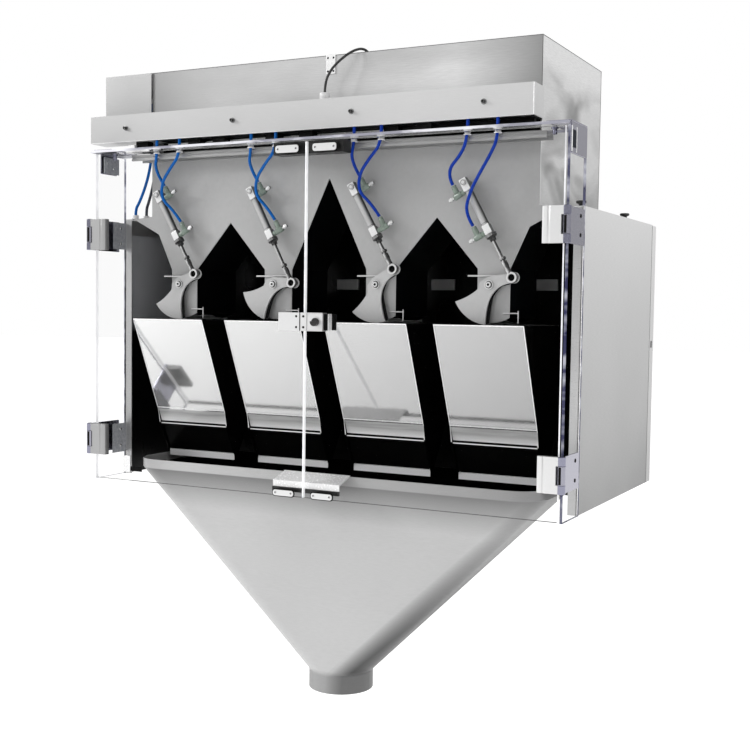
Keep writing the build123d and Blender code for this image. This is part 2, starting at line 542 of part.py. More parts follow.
def make_flap(c):
    clear = SHEET + 0.6
    x0, x1 = c + BUCKET_DX - BUCKET_W / 2 + clear, c + BUCKET_DX + BUCKET_W / 2 - clear
    hy, hz = HINGE_YZ
    ey, ez = FLAP_END
    size = math.hypot(ey - hy, ez - hz)
    uy, uz = (ey - hy) / size, (ez - hz) / size
    start = (hy + uy * BARREL_R * 0.8, hz + uz * BARREL_R * 0.8)
    flap = strip_yz([start, FLAP_END], SHEET, x0, x1)
    flap += block(x0, x1, ey - SHEET, ey, ez - FLAP_LIP, ez + 1.0)
    flap += along_x(hy, hz, BARREL_R, x0, x1)
    flap -= along_x(hy, hz, PIN_R + FIT, x0 - 1, x1 + 1)
    return flap


# ================= funnel =================


def rim_face(grow):
    w = 2 * (RIM_HALF + grow)
    d = RIM_Y[1] - RIM_Y[0] + 2 * grow
    return Pos(0, (RIM_Y[0] + RIM_Y[1]) / 2) * RectangleRounded(w, d, RIM_R + grow)


def funnel_solid(grow):
    top = Plane.XY.offset(RIM_Z[0]) * rim_face(grow)
    side = 2 * (OUTLET_R + grow)
    mouth = Pos(0, OUTLET_Y) * RectangleRounded(side, side, OUTLET_R + grow - FLAT)
    return loft([Plane.XY.offset(RIM_Z[0] - FUNNEL_H) * mouth, top], ruled=True)


rim = extrude(Plane.XY.offset(RIM_Z[0]) * rim_face(0), amount=RIM_Z[1] - RIM_Z[0])
rim -= extrude(Plane.XY.offset(RIM_Z[0] - 1) * rim_face(-SHEET), amount=RIM_Z[1] - RIM_Z[0] + 2)
collar_z1 = RIM_Z[0] - FUNNEL_H
collar = along_z(0, OUTLET_Y, OUTLET_R, collar_z1 - COLLAR_H, collar_z1)
collar -= along_z(0, OUTLET_Y, OUTLET_R - SHEET, collar_z1 - COLLAR_H - 1, collar_z1 + 1)
funnel = funnel_solid(0) - funnel_solid(-SHEET) + rim + collar

# ================= hoses and cable =================


def tube_path(points):
    radii = []
    for a, b, c in zip(points, points[1:], points[2:]):
        first = Vector(*b) - Vector(*a)
        second = Vector(*c) - Vector(*b)
        turn = math.radians(first.get_angle(second))
        radii.append(0.45 * min(first.length, second.length) / math.tan(turn / 2))
    return FilletPolyline(*points, radius=radii), radii


def make_tube(name, points, radius):
    path, radii = tube_path(points)
    start = Plane(origin=path @ 0, z_dir=path % 0)
    tube = sweep(start * Circle(radius), path=path)
    want = math.pi * radius ** 2 * path.length
    print(name, "radii", [round(r, 1) for r in radii], "volume ratio", round(tube.volume / want, 4))
    return tube


def hose_points(i, which):
    """Route from the duct to a speed controller, relative to the cylinder's rear pivot."""
    rx, rz = rear_pivot(i)
    lean = math.radians(cylinder_pose(i)[1])
    t, s = FIT_SIDE[i] * BRANCH_T, PORT_S[which] - BRANCH_L - FACE
    ex = rx + t * math.cos(lean) + s * math.sin(lean)
    ez = rz + t * math.sin(lean) - s * math.cos(lean)
    up = (-math.sin(lean), math.cos(lean))
    x0 = rx + HOSE_DX[which]
    if which == 0:
        mid = [(x0 - 1.0, HOSE_Y + 1.0, HOSE_Z1 - 30.0)]
        if FIT_SIDE[i] > 0:
            mid += [(ex + up[0] * 30.0 + 1.0, HOSE_Y + 9.0, ez + up[1] * 30.0 + 4.0)]
        else:
            mid += [(x0 - 13.0, HOSE_Y + 5.0, HOSE_Z1 - 58.0),
                    (ex + up[0] * 26.0 + 3.0, CYL_Y - 9.0, ez + up[1] * 26.0)]
    else:
        if FIT_SIDE[i] > 0:
            mid = [(x0 + 1.0, HOSE_Y - 1.0, HOSE_Z1 - 32.0), (rx + 47.0, HOSE_Y, rz + 50.0),
                   (rx + 24.0, HOSE_Y + 3.0, rz + 22.0), (rx + 20.0, HOSE_Y + 8.0, rz - 10.0),
                   (ex + up[0] * 26.0, CYL_Y - 8.0, ez + up[1] * 26.0)]
        else:
            mid = [(x0 + 1.0, HOSE_Y - 1.0, HOSE_Z1 - 34.0), (rx + 58.0, HOSE_Y, rz + 46.0),
                   (rx + 36.0, HOSE_Y + 2.0, rz + 12.0), (rx + 17.0, HOSE_Y + 6.0, rz - 20.0),
                   (ex + up[0] * 26.0, CYL_Y - 9.0, ez + up[1] * 26.0)]
    return [(x0, HOSE_Y, HOSE_Z1)] + mid + [(ex, CYL_Y, ez)]


SIDE_X = -BOX_HALF - 8.0
SIDE_FIT_H = 8.0
SIDE_Z0 = CAB_H + SKIN + SIDE_FIT_H
SIDE_Z1 = DUCT_Z[1] + 30.0
SIDE_HOSE = [(SIDE_X, 4.0, SIDE_Z1), (SIDE_X, 4.0, SIDE_Z1 - 40.0), (SIDE_X + 1.0, 2.0, SIDE_Z1 - 85.0),
             (SIDE_X - 3.0, 1.0, SIDE_Z1 - 125.0), (SIDE_X - 16.0, 3.0, SIDE_Z1 - 165.0),
             (SIDE_X - 36.0, 5.0, SIDE_Z1 - 203.0), (SIDE_X - 46.0, 6.0, SIDE_Z0 + 14.0),
             (SIDE_X - 46.0, 6.0, SIDE_Z0)]
SIDE_HOSE_2 = [(SIDE_X - 6.0, 26.0, SIDE_Z1), (SIDE_X - 6.0, 26.0, SIDE_Z1 - 40.0),
               (SIDE_X - 5.0, 24.0, SIDE_Z1 - 85.0), (SIDE_X - 8.0, 24.0, SIDE_Z1 - 128.0),
               (SIDE_X - 17.0, 26.0, SIDE_Z1 - 168.0), (SIDE_X - 30.0, 28.0, SIDE_Z1 - 202.0),
               (SIDE_X - 36.0, 29.0, SIDE_Z0 + 16.0), (SIDE_X - 36.0, 29.0, SIDE_Z0)]
GLAND_XY = (5.0, -38.0)
GLAND_H = 14.0
INNER_GLAND = (75.0, 15.0)
gland_z = DUCT_Z[1] + GLAND_H
inner_z = INNER_Z + 10.0
CABLE = [(*GLAND_XY, gland_z), (*GLAND_XY, gland_z + 20.0), (17.0, -37.0, gland_z + 43.0),
         (36.0, -32.0, gland_z + 62.0), (54.0, -20.0, BOX_Z1 + 2.0), (68.0, -3.0, BOX_Z1 + 9.0),
         (*INNER_GLAND, BOX_Z1 - 3.0), (*INNER_GLAND, inner_z)]

rings = [along_z(*GLAND_XY, 9.5, DUCT_Z[1], gland_z), along_z(*INNER_GLAND, 8.0, INNER_Z, inner_z),
         along_z(*SIDE_HOSE[-1][:2], 6.0, CAB_H + SKIN, SIDE_Z0),
         along_z(*SIDE_HOSE_2[-1][:2], 6.0, CAB_H + SKIN, SIDE_Z0)]
# both side hoses start at nozzles on a plate inside the end housing
rings.append(block(SIDE_X - 14.0, -BOX_HALF, -4.0, 34.0, SIDE_Z1 + 6.0, SIDE_Z1 + 9.0))
rings += [along_z(*r[0][:2], 5.0, SIDE_Z1, SIDE_Z1 + 6.0) for r in (SIDE_HOSE, SIDE_HOSE_2)]
GROMMET_R = (HOSE_R + 1.5, 7.0)
GROMMET_NECK = 5.5


def at_height(points, z):
    for a, b in zip(points, points[1:]):
        if a[2] >= z >= b[2]:
            f = (a[2] - z) / (a[2] - b[2])
            return a[0] + f * (b[0] - a[0]), a[1] + f * (b[1] - a[1])


hose_routes = {}
for i in range(HEADS):
    hose_routes[f"hose_{i + 1}_rear"] = hose_points(i, 0)
    hose_routes[f"hose_{i + 1}_front"] = hose_points(i, 1)
for route in hose_routes.values():
    gx, gy = at_height(route, GLASS_Z1 + GLASS)
    top_glass -= along_z(gx, gy, GROMMET_NECK, GLASS_Z1 - 1, GLASS_Z1 + GLASS + 1)
    ring = along_z(gx, gy, GROMMET_NECK, GLASS_Z1 - 1.5, GLASS_Z1 + GLASS)
    ring += along_z(gx, gy, GROMMET_R[1], GLASS_Z1 + GLASS, GLASS_Z1 + GLASS + 1.5)
    ring += along_z(gx, gy, GROMMET_R[1], GLASS_Z1 - 1.5, GLASS_Z1)
    ring -= along_z(gx, gy, GROMMET_R[0], GLASS_Z1 - 3, GLASS_Z1 + GLASS + 3)
    rings.append(ring)
hose_routes["hose_side"] = SIDE_HOSE
hose_routes["hose_side_dark"] = SIDE_HOSE_2

# ================= files =================
STATIC = {
    "cabinet": cabinet, "bay_liner": bay_liner, "side_cover_right": side_cover,
    "side_cover_left": fixed_cover, "rear_cover": rear_cover, "feeder_box": top_box,
    "feeder_pans": feeder_pans, "end_housing": left_box, "hose_duct": duct, "top_trim": top_trim,
    "header_rail": rail, "top_glass": top_glass, "side_glass": side_glass,
    "corner_brackets": corner_brackets, "hinge_brackets": hinge_brackets, "door_catches": door_catches,
    "sill_bracket": sill, "chute_plate": chute_plate, "chutes": chutes, "head_pins": head_pins,
    "funnel": funnel, "glands": group(rings), "door_right": door, "door_left": mirror_x(door),
    "door_hardware_right": hardware_r, "door_hardware_left": hardware_l, "lock_knob": lock_knob,
    "cover_knob_front": knobs[0], "cover_knob_rear": knobs[1],
    "cable": make_tube("cable", CABLE, CABLE_R),
}
parts = dict(STATIC)
for i, c in enumerate(CENTRES):
    parts[f"gate_{i + 1}"] = make_gate(i)
    parts[f"cylinder_{i + 1}"] = make_cylinder(i)
    parts[f"rod_{i + 1}"] = make_rod(i)
    parts[f"bucket_{i + 1}"] = make_bucket(c)
    parts[f"flap_{i + 1}"] = make_flap(c)
for name, route in hose_routes.items():
    parts[name] = make_tube(name, route, HOSE_R)
for name, shape in parts.items():
    save(Pos(0, -BASE_Y, 0) * shape, name)
print(len(parts), "nodes")
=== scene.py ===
import bpy
import bmesh
import math
from mathutils import Matrix, Vector


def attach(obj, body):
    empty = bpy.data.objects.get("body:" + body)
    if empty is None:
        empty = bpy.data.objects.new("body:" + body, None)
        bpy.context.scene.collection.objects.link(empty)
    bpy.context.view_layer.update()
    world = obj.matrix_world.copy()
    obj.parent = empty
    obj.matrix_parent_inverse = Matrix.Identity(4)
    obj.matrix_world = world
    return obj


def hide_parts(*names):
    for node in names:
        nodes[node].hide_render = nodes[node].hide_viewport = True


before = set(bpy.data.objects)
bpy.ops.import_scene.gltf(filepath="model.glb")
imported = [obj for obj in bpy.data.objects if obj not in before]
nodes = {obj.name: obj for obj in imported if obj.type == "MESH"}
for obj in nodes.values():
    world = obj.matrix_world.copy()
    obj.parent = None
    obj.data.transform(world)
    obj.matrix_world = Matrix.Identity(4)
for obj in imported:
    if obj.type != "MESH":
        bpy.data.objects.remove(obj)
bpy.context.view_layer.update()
scene = bpy.context.scene
MM = 0.001

# ================= layout, as in the CAD, in millimetres (the floor in metres) =================
BASE_Y = 344.5
CAB_H = 537.0
SKIN = 1.5
CENTRES = [-339.0, -113.0, 113.0, 339.0]
PIVOT_DX, PIVOT_Z = -4.0, 402.0
ARM = 48.0
REST = [25.0, 3.0, 36.0, 15.0]
CYL_DX, CYL_DZ, CYL_Y = -46.0, 180.5, -29.0
BLOCK = 14.0
PORT_S = (14.0, 98.0)
BRANCH_T, BRANCH_L = 22.0, 20.0
SHANK_L = 40.0
FIT_SIDE = [1, 1, 1, -1]
GATE_Y0, PLATE_T, PLAY = -20.0, 3.0, 0.4
BOX_HALF, BOX_Z1, BOX_Y0 = 422.0, 835.0, -8.0
DUCT_Z = (690.0, 745.0)
DUCT_X = (-542.0, 426.0)
DUCT_Y0 = -58.0
GLASS_Z = (664.0, 669.0)
DOOR_Y0, DOOR_T = -97.0, 8.0
KNOB_X, COVER_KNOBS = 490.0, {"front": 14.0, "rear": 0.62 * 472.0}
HOSE_Y, HOSE_Z1 = -53.0, 689.7
HOSE_DX = (14.0, 70.0)
FACE = 2.4
GLAND_XY, GLAND_H = (5.0, -38.0), 14.0
INNER_GLAND, INNER_Z = (75.0, 15.0), 800.0
HINGE_Z = (83.5, 499.5)
BARREL = (504.0, -104.0)
LEAF_H, KNUCKLE = 31.0, 15.6
LOCK_Z, LOCK_T, LOCK_H = 331.0, 16.0, 17.0
BUCKET_W, BUCKET_DX = 172.0, -12.0
BUCKET_TOP, BUCKET_FOLD, BUCKET_LOW = (-50.0, 330.0), (32.0, 141.0), (44.0, 113.0)
FLAP_END, FLAP_LIP = (74.0, 48.0), 12.0
STRIKES = ((15.0, 65.0, 643.0, 657.0), (19.0, 64.0, 2.5, 13.5))
TOP_BOLT_X, TOP_BOLT_Y = 468.0, -70.0
ROD_R, ROD_IN = 3.0, 125.0
GATE_R, GATE_FAN = 71.5, math.radians(250.0)
FLOOR_Z, FLOOR_HALF = -1.0, 40.0


def P(x, y, z):
    """Drawing millimetres to the row frame in metres."""
    return Vector((x, y - BASE_Y, z)) * MM


def rear_pivot(i):
    return CENTRES[i] + PIVOT_DX + CYL_DX, PIVOT_Z + CYL_DZ


def cylinder_pose(i):
    """Length from rear pivot to eye, and lean of the axis from the vertical in radians."""
    a = math.radians(REST[i])
    rx, rz = rear_pivot(i)
    ex = CENTRES[i] + PIVOT_DX + ARM * math.cos(a)
    ez = PIVOT_Z + ARM * math.sin(a)
    return math.hypot(ex - rx, ez - rz), math.atan2(ex - rx, rz - ez)


# ================= camera =================
cam_data = bpy.data.cameras.new("camera")
cam_data.sensor_width = 36.0
cam_data.lens = 55.96
cam_data.clip_end = 50.0
cam = bpy.data.objects.new("camera", cam_data)
scene.collection.objects.link(cam)
yaw, pitch, roll = (math.radians(a) for a in (27.3, -3.22, 0.775))
forward = Vector((-math.sin(yaw) * math.cos(pitch), math.cos(yaw) * math.cos(pitch), math.sin(pitch)))
level = Vector((math.cos(yaw), math.sin(yaw), 0.0))
rise = level.cross(forward)
right = level * math.cos(roll) + rise * math.sin(roll)
up = rise * math.cos(roll) - level * math.sin(roll)
turn = Matrix((right, up, -forward)).transposed()
cam.matrix_world = Matrix.Translation((1.1092, -2.3012, 0.3555)) @ turn.to_4x4()
scene.camera = cam


# ================= materials =================
class Mat:
    """Builds one node material around a Principled shader."""

    def __init__(self, name, rough=0.5, metallic=0.0):
        self.m = bpy.data.materials.new(name)
        self.m.use_nodes = True
        self.t = self.m.node_tree
        self.b = self.t.nodes["Principled BSDF"]
        self.set("Base Color", (0.5, 0.5, 0.5, 1.0))
        self.set("Roughness", rough)
        self.set("Metallic", metallic)
        self.coord = self.t.nodes.new("ShaderNodeTexCoord")

    def set(self, socket, value):
        self.b.inputs[socket].default_value = value

    def node(self, kind, **values):
        n = self.t.nodes.new(kind)
        for key, value in values.items():
            setattr(n, key, value)
        return n

    def link(self, a, b):
        self.t.links.new(a, b)

    def noise(self, scale, stretch=(1, 1, 1), detail=4.0, shift=(0, 0, 0), swirl=0.0):
        mapping = self.node("ShaderNodeMapping")
        mapping.inputs["Scale"].default_value = stretch
        mapping.inputs["Location"].default_value = shift
        self.link(self.coord.outputs["Object"], mapping.inputs["Vector"])
        n = self.node("ShaderNodeTexNoise")
        n.inputs["Scale"].default_value = scale
        n.inputs["Detail"].default_value = detail
        n.inputs["Distortion"].default_value = swirl
        self.link(mapping.outputs["Vector"], n.inputs["Vector"])
        return n.outputs["Fac"]

    def spread(self, source, low=0.0, high=1.0, from_low=0.3, from_high=0.7):
        n = self.node("ShaderNodeMapRange")
        n.inputs["From Min"].default_value = from_low
        n.inputs["From Max"].default_value = from_high
        n.inputs["To Min"].default_value = low
        n.inputs["To Max"].default_value = high
        self.link(source, n.inputs["Value"])
        return n.outputs["Result"]

    def blend(self, factor, a, b):
        n = self.node("ShaderNodeMix", data_type="RGBA")
        colours = [s for s in n.inputs if s.type == "RGBA"]
        for value, socket in zip((a, b), colours):
            if isinstance(value, tuple):
                socket.default_value = (*value, 1.0)
            else:
                self.link(value, socket)
        self.link(factor, n.inputs[0])
        return [s for s in n.outputs if s.type == "RGBA"][0]

    def facing(self, axis, low=0.5, high=0.7, both=False):
        """1 where the surface faces along axis in the piece's own frame, else 0."""
        n = self.node("ShaderNodeVectorMath", operation="DOT_PRODUCT")
        self.link(self.coord.outputs["Normal"], n.inputs[0])
        n.inputs[1].default_value = axis
        value = n.outputs["Value"]
        if both:
            size = self.node("ShaderNodeMath", operation="ABSOLUTE")
            self.link(value, size.inputs[0])
            value = size.outputs[0]
        return self.spread(value, 0.0, 1.0, low, high)

    def tilt(self, axis, position, slope, low, high):
        """Facing along axis plus slope times a position, mapped from low..high to 0..1."""
        n = self.node("ShaderNodeVectorMath", operation="DOT_PRODUCT")
        self.link(self.coord.outputs["Normal"], n.inputs[0])
        n.inputs[1].default_value = axis
        s = self.node("ShaderNodeSeparateXYZ")
        self.link(self.coord.outputs["Object"], s.inputs[0])
        total = self.node("ShaderNodeMath", operation="MULTIPLY_ADD")
        self.link(s.outputs["XYZ".index(position)], total.inputs[0])
        total.inputs[1].default_value = slope
        self.link(n.outputs["Value"], total.inputs[2])
        return self.spread(total.outputs[0], 0.0, 1.0, low, high)

    def along(self, axis, low, high):
        """0 to 1 from low to high, in metres along X, Y or Z."""
        n = self.node("ShaderNodeSeparateXYZ")
        self.link(self.coord.outputs["Object"], n.inputs[0])
        return self.spread(n.outputs["XYZ".index(axis)], 0.0, 1.0, low, high)

    def _math(self, operation, a, b):
        n = self.node("ShaderNodeMath", operation=operation)
        self.link(a, n.inputs[0])
        self.link(b, n.inputs[1])
        return n.outputs[0]

    def times(self, a, b):
        return self._math("MULTIPLY", a, b)

    def either(self, a, b):
        return self._math("MAXIMUM", a, b)

    def bump(self, source, strength, distance=0.0005):
        n = self.node("ShaderNodeBump")
        n.inputs["Strength"].default_value = strength
        n.inputs["Distance"].default_value = distance
        self.link(source, n.inputs["Height"])
        self.link(n.outputs["Normal"], self.b.inputs["Normal"])

    def colour(self, source):
        self.link(source, self.b.inputs["Base Color"])

    def rough(self, source):
        self.link(source, self.b.inputs["Roughness"])

    def drive(self, socket, factor, low, high):
        """Socket goes from low to high as factor goes from 0 to 1."""
        self.link(self.spread(factor, low, high, 0.0, 1.0), self.b.inputs[socket])


def grey(value, tint=0.0):
    return (value * (1 - tint), value * (1 - tint / 2), value * (1 + tint))


def sheet_steel(name, low, high, rough, metallic):
    """Satin rolled sheet: cloudy tone, fine one-way grain."""
    m = Mat(name, metallic=metallic)
    cloudy = m.noise(2.2, detail=2.5)
    fine = m.noise(60.0, (1, 1, 40), 6.0)
    base = m.blend(m.spread(cloudy, 0, 1, 0.35, 0.65), grey(low), grey(high))
    m.colour(m.blend(m.spread(fine, 0.0, 0.22), base, grey(low * 0.7)))
    m.rough(m.spread(fine, rough - 0.05, rough + 0.08))
    m.bump(fine, 0.06)
    return m.m


def box_steel():
    """Feeder box: brushed front with painted light, dark at both ends and bright across the middle; cloudy
    bright right side of painted reflections with a painted highlight along its top; plain left side and back.
    """
    m = Mat("feeder_box_steel", metallic=0.6)
    fine = m.noise(55.0, (1, 1, 45), 7.0)
    cloudy = m.spread(m.noise(3.0, (1, 1, 2.4), 3.0), 0, 1, 0.38, 0.62)
    # painted light on the front: painted shade at its left end, a painted highlight across the middle,
    # painted shade at its right end
    front = m.blend(m.along("X", -0.43, -0.27), grey(0.24), m.blend(cloudy, grey(0.45), grey(0.55)))
    front = m.blend(m.along("X", -0.27, 0.36), front, m.blend(cloudy, grey(0.66), grey(0.95)))
    front = m.blend(m.along("X", 0.26, 0.42), front, grey(0.36))
    # painted reflection on the right side: a cloud of light and dark, then a painted highlight along its top
    swirl = m.blend(m.spread(m.noise(5.0, (1, 0.7, 1.5), 2.0, (0.7, 0.15, 0.35), 1.2), 0, 1, 0.36, 0.62),
                    grey(0.24), grey(0.80))
    swirl = m.blend(m.along("Z", 0.74, 0.80), swirl, grey(0.95))
    hidden = m.either(m.facing((-1, 0, 0), 0.4, 0.8), m.facing((0, 1, 0), 0.4, 0.8))
    tone = m.blend(m.facing((1, 0, 0), 0.4, 0.8), front, swirl)
    tone = m.blend(hidden, tone, m.blend(cloudy, grey(0.44), grey(0.52)))
    m.colour(m.blend(m.spread(fine, 0.0, 0.3), tone, grey(0.25)))
    m.rough(m.spread(fine, 0.30, 0.42))
    m.bump(fine, 0.08)
    return m.m


def graded(name, axis, start, end, dark, light, rough, metallic):
    """Satin sheet whose tone drifts from one end to the other, as painted light and shade."""
    m = Mat(name, metallic=metallic)
    fine = m.noise(70.0, (1, 1, 30), 6.0)
    cloudy = m.noise(2.0, detail=2.0)
    base = m.blend(m.along(axis, start, end), grey(dark), grey(light))
    tone = m.blend(m.spread(cloudy, 0.0, 0.25), base, grey(light * 1.05))
    m.colour(m.blend(m.spread(fine, 0.0, 0.12), tone, grey(dark * 0.8)))
    m.rough(m.spread(fine, rough - 0.04, rough + 0.07))
    m.bump(fine, 0.03)
    return m.m


def funnel_steel():
    """Satin cone: pale in the middle, with painted shade under the rim, where it turns to either side and on
    the collar, the rim painted lighter at its left end, and the inside painted black as shade.
    """
    m = Mat("funnel_steel", metallic=0.3)
    # painted shade: darker where the cone turns to the right, more so lower down
    away = m.tilt((1, 0, 0), "Z", -1.2, 0.44, 0.95)
    # painted shade: under marks the band under the rim, collar the band round the collar
    under = m.along("Z", -0.050, 0.022)
    collar = m.along("Z", -0.352, -0.364)
    fine = m.noise(70.0, (1, 1, 8), 5.0)
    cloudy = m.noise(3.0, detail=2.0)
    tone = m.blend(m.spread(cloudy), grey(0.47), grey(0.51))
    tone = m.blend(away, tone, grey(0.035))
    tone = m.blend(m.spread(under, 0.0, 0.8, 0.0, 1.0), tone, grey(0.11))
    # painted light on the rim's band: lighter at its left end, darker at its right
    rim = m.along("Z", 0.0215, 0.0235)
    tone = m.blend(rim, tone, m.blend(m.along("X", -0.30, 0.42), grey(0.52), grey(0.30)))
    tone = m.blend(m.spread(collar, 0.0, 0.62, 0.0, 1.0), tone, grey(0.19))
    # painted shade where the cone turns to the left
    tone = m.blend(m.spread(m.facing((-1, 0, 0), 0.45, 0.9), 0.0, 0.7, 0.0, 1.0), tone, grey(0.14))
    tone = m.blend(m.spread(fine, 0.0, 0.10), tone, grey(0.25))
    # the inside of the cone painted black as shade
    back = m.times(m.facing((0, -1, 0), 0.2, 0.5), m.along("Y", -0.28, -0.25))
    inside = m.either(m.facing((0, 0, 1), 0.05, 0.2), back)
    m.colour(m.blend(inside, tone, grey(0.002)))
    m.drive("Specular IOR Level", inside, 0.5, 0.03)
    m.drive("Metallic", inside, 0.3, 0.0)
    m.rough(m.spread(fine, 0.36, 0.48))
    m.bump(fine, 0.02)
    return m.m


def flap_steel():
    """Pale steel on the face that looks straight forward; every other face painted black as a dark
    reflection.
    """
    m = Mat("flap_steel")
    face = m.facing((0, -1, 0), 0.96, 0.99)
    fine = m.noise(60.0, (1, 1, 30), 6.0)
    cloudy = m.noise(2.5, detail=2.0)
    tone = m.blend(m.spread(cloudy), grey(0.88 * 0.95), grey(0.88, 0.01))
    # faces that don't look forward painted black as a dark reflection
    m.colour(m.blend(face, grey(0.002), tone))
    m.rough(m.spread(fine, 0.32, 0.40))
    m.bump(fine, 0.03)
    m.drive("Specular IOR Level", face, 0.05, 0.5)
    return m.m


def bucket_steel():
    """Polished front that mirrors softly, with painted light: lighter to the left and towards the top, a
    bright fold line that is a painted highlight, and the sides painted black as a dark reflection.
    """
    m = Mat("bucket_steel", metallic=0.9)
    face = m.times(m.facing((0, -1, -0.4), 0.6, 0.8), m.along("Z", 0.109, 0.111))
    fine = m.noise(60.0, (1, 1, 30), 5.0)
    # painted light on the front above the fold: lighter towards the top and to the left
    fall = m.along("Z", 0.15, 0.33)
    tone = m.blend(fall, grey(0.35), grey(0.42))
    tone = m.blend(m.along("X", -0.45, 0.42), m.blend(fall, grey(0.55), grey(0.68)), tone)
    low = m.along("Z", 0.139, 0.1385)    # below the fold line
    streak = m.spread(m.noise(10.0, (1, 1, 14), 3.0), 0.30, 0.55)
    # painted highlight on the strip below the fold, brightest at its lower edge
    lower = m.blend(m.along("Z", 0.128, 0.114), grey(0.33), grey(0.92))
    lower = m.blend(m.spread(streak, 0.0, 0.6, 0.3, 0.55), lower, grey(0.62))
    tone = m.blend(low, tone, lower)
    # the sides and faces that don't look forward painted black as a dark reflection
    m.colour(m.blend(face, grey(0.002), tone))
    m.rough(m.spread(fine, 0.05, 0.09))
    m.bump(fine, 0.02)
    m.drive("Specular IOR Level", face, 0.03, 0.5)
    mirror = m.times(face, m.along("Z", 0.1385, 0.139))
    m.drive("Metallic", mirror, 0.0, 0.85)
    return m.m


def plate_grey(name, value):
    """Matt grey plate, bright where it doesn't face forward, as on its cut edges."""
    m = Mat(name, metallic=0.15)
    face = m.facing((0, -1, 0), 0.5, 0.8)
    fine = m.noise(140.0, detail=5.0)
    cloudy = m.noise(3.0, detail=2.0)
    tone = m.blend(m.spread(cloudy), grey(value * 0.92), grey(value * 1.06))
    tone = m.blend(m.spread(fine, 0.0, 0.15), tone, grey(value * 0.7))
    m.colour(m.blend(face, grey(0.85), tone))
    m.rough(m.spread(fine, 0.42, 0.55))
    m.bump(fine, 0.04, 0.0002)
    return m.m


def dark_coat(name, value, rough, tint=0.0, gloss=0.5):
    """Fine-grained coat of one dark tone."""
    m = Mat(name, rough=rough)
    grain = m.noise(180.0, detail=3.0)
    m.colour(m.blend(m.spread(grain), grey(value, tint), grey(value * 1.5, tint)))
    m.rough(m.spread(grain, rough - 0.05, rough + 0.08))
    m.bump(grain, 0.05, 0.0002)
    m.set("Specular IOR Level", gloss)
    return m.m


def liner_coat():
    """Bay lining: smudged grey on the upper part of its sides, nearly black as painted shade lower down and
    on its back.
    """
    m = Mat("bay_lining", rough=0.3)
    side = m.facing((1, 0, 0), 0.5, 0.8, both=True)
    smudge = m.noise(9.0, (1, 1, 0.6), 6.0)
    dark = m.blend(m.spread(smudge, 0, 1, 0.35, 0.7), grey(0.40, 0.03), grey(0.50, 0.03))
    # painted shade: the sides black below the tops of the buckets, grey above
    tone = m.blend(m.along("Z", 0.30, 0.335), grey(0.002), dark)
    # painted shade: the back of the bay nearly black
    back = m.blend(m.spread(m.noise(6.0, detail=5.0), 0, 1, 0.55, 0.8), grey(0.0015), grey(0.012, 0.06))
    m.colour(m.blend(side, back, tone))
    m.rough(m.spread(smudge, 0.22, 0.4))
    m.bump(m.noise(120.0, detail=3.0), 0.03, 0.0002)
    m.set("Specular IOR Level", 0.12)
    return m.m


def bright(name, value, rough, tint=(1, 1, 1)):
    """Polished or plated metal, lightly worn."""
    m = Mat(name, metallic=1.0)
    worn = m.noise(320.0, detail=3.0)
    a = tuple(value * 0.93 * c for c in tint)
    b = tuple(value * c for c in tint)
    m.colour(m.blend(m.spread(worn), a, b))
    m.rough(m.spread(worn, rough - 0.03, rough + 0.04))
    m.bump(worn, 0.03, 0.00005)
    return m.m


def lit(name, light, dark, axis, rough, metallic=0.6, low=-0.3, high=0.5, tint=0.0):
    """Small bright part with painted light and shade: lighter on the side facing axis, painted shade on the
    side turned away from it.
    """
    m = Mat(name, metallic=metallic)
    worn = m.noise(300.0, detail=3.0)
    tone = m.blend(m.spread(worn), grey(light * 0.98, tint), grey(light, tint))
    m.colour(m.blend(m.facing(axis, low, high), grey(dark, tint), tone))
    m.rough(m.spread(worn, rough, rough + 0.03))
    return m.m


def plastic(name, dark, light, rough, coat=0.0, gloss=0.5):
    """Moulded plastic between two close tones."""
    m = Mat(name, rough=rough)
    n = m.noise(250.0, detail=3.0)
    m.colour(m.blend(m.spread(n), dark, light))
    m.rough(m.spread(n, rough - 0.04, rough + 0.06))
    m.bump(n, 0.03, 0.0001)
    m.set("Coat Weight", coat)
    m.set("Specular IOR Level", gloss)
    return m.m


def acrylic(name, face_axis, low, edge, edge_alpha, face_alpha, grain_z=4.0, glow=0.0):
    """Clear sheet: nearly nothing on its faces, a pale painted highlight along its polished edges."""
    m = Mat(name, rough=0.06)
    face = m.facing(face_axis, 0.4, 0.8, both=True)
    m.drive("Alpha", face, edge_alpha, face_alpha)
    grain = m.noise(14.0, (1, 1, grain_z), 3.0)
    # painted highlight on the edges, streaked light and dark
    rim = m.blend(m.spread(grain, 0, 1, 0.45, 0.6), low, edge)
    level = m.facing((0, 0, 1), 0.4, 0.8, both=True)
    # on the doors: the level edges painted darker as shade, the upright edges given a painted glow
    if glow:
        rim = m.blend(level, rim, grey(0.10))
        m.drive("Emission Strength", m.either(face, level), glow, 0.0)
        m.set("Emission Color", (1.0, 1.0, 1.0, 1.0))
    m.colour(m.blend(face, rim, (0.004, 0.004, 0.004)))
    m.rough(m.spread(grain, 0.04, 0.12))
    m.drive("Specular IOR Level", face, 0.5, 0.0)
    m.m.surface_render_method = "BLENDED"
    return m.m


m_box = box_steel()
m_end = sheet_steel("end_panel_steel", 0.34, 0.44, 0.34, 0.55)
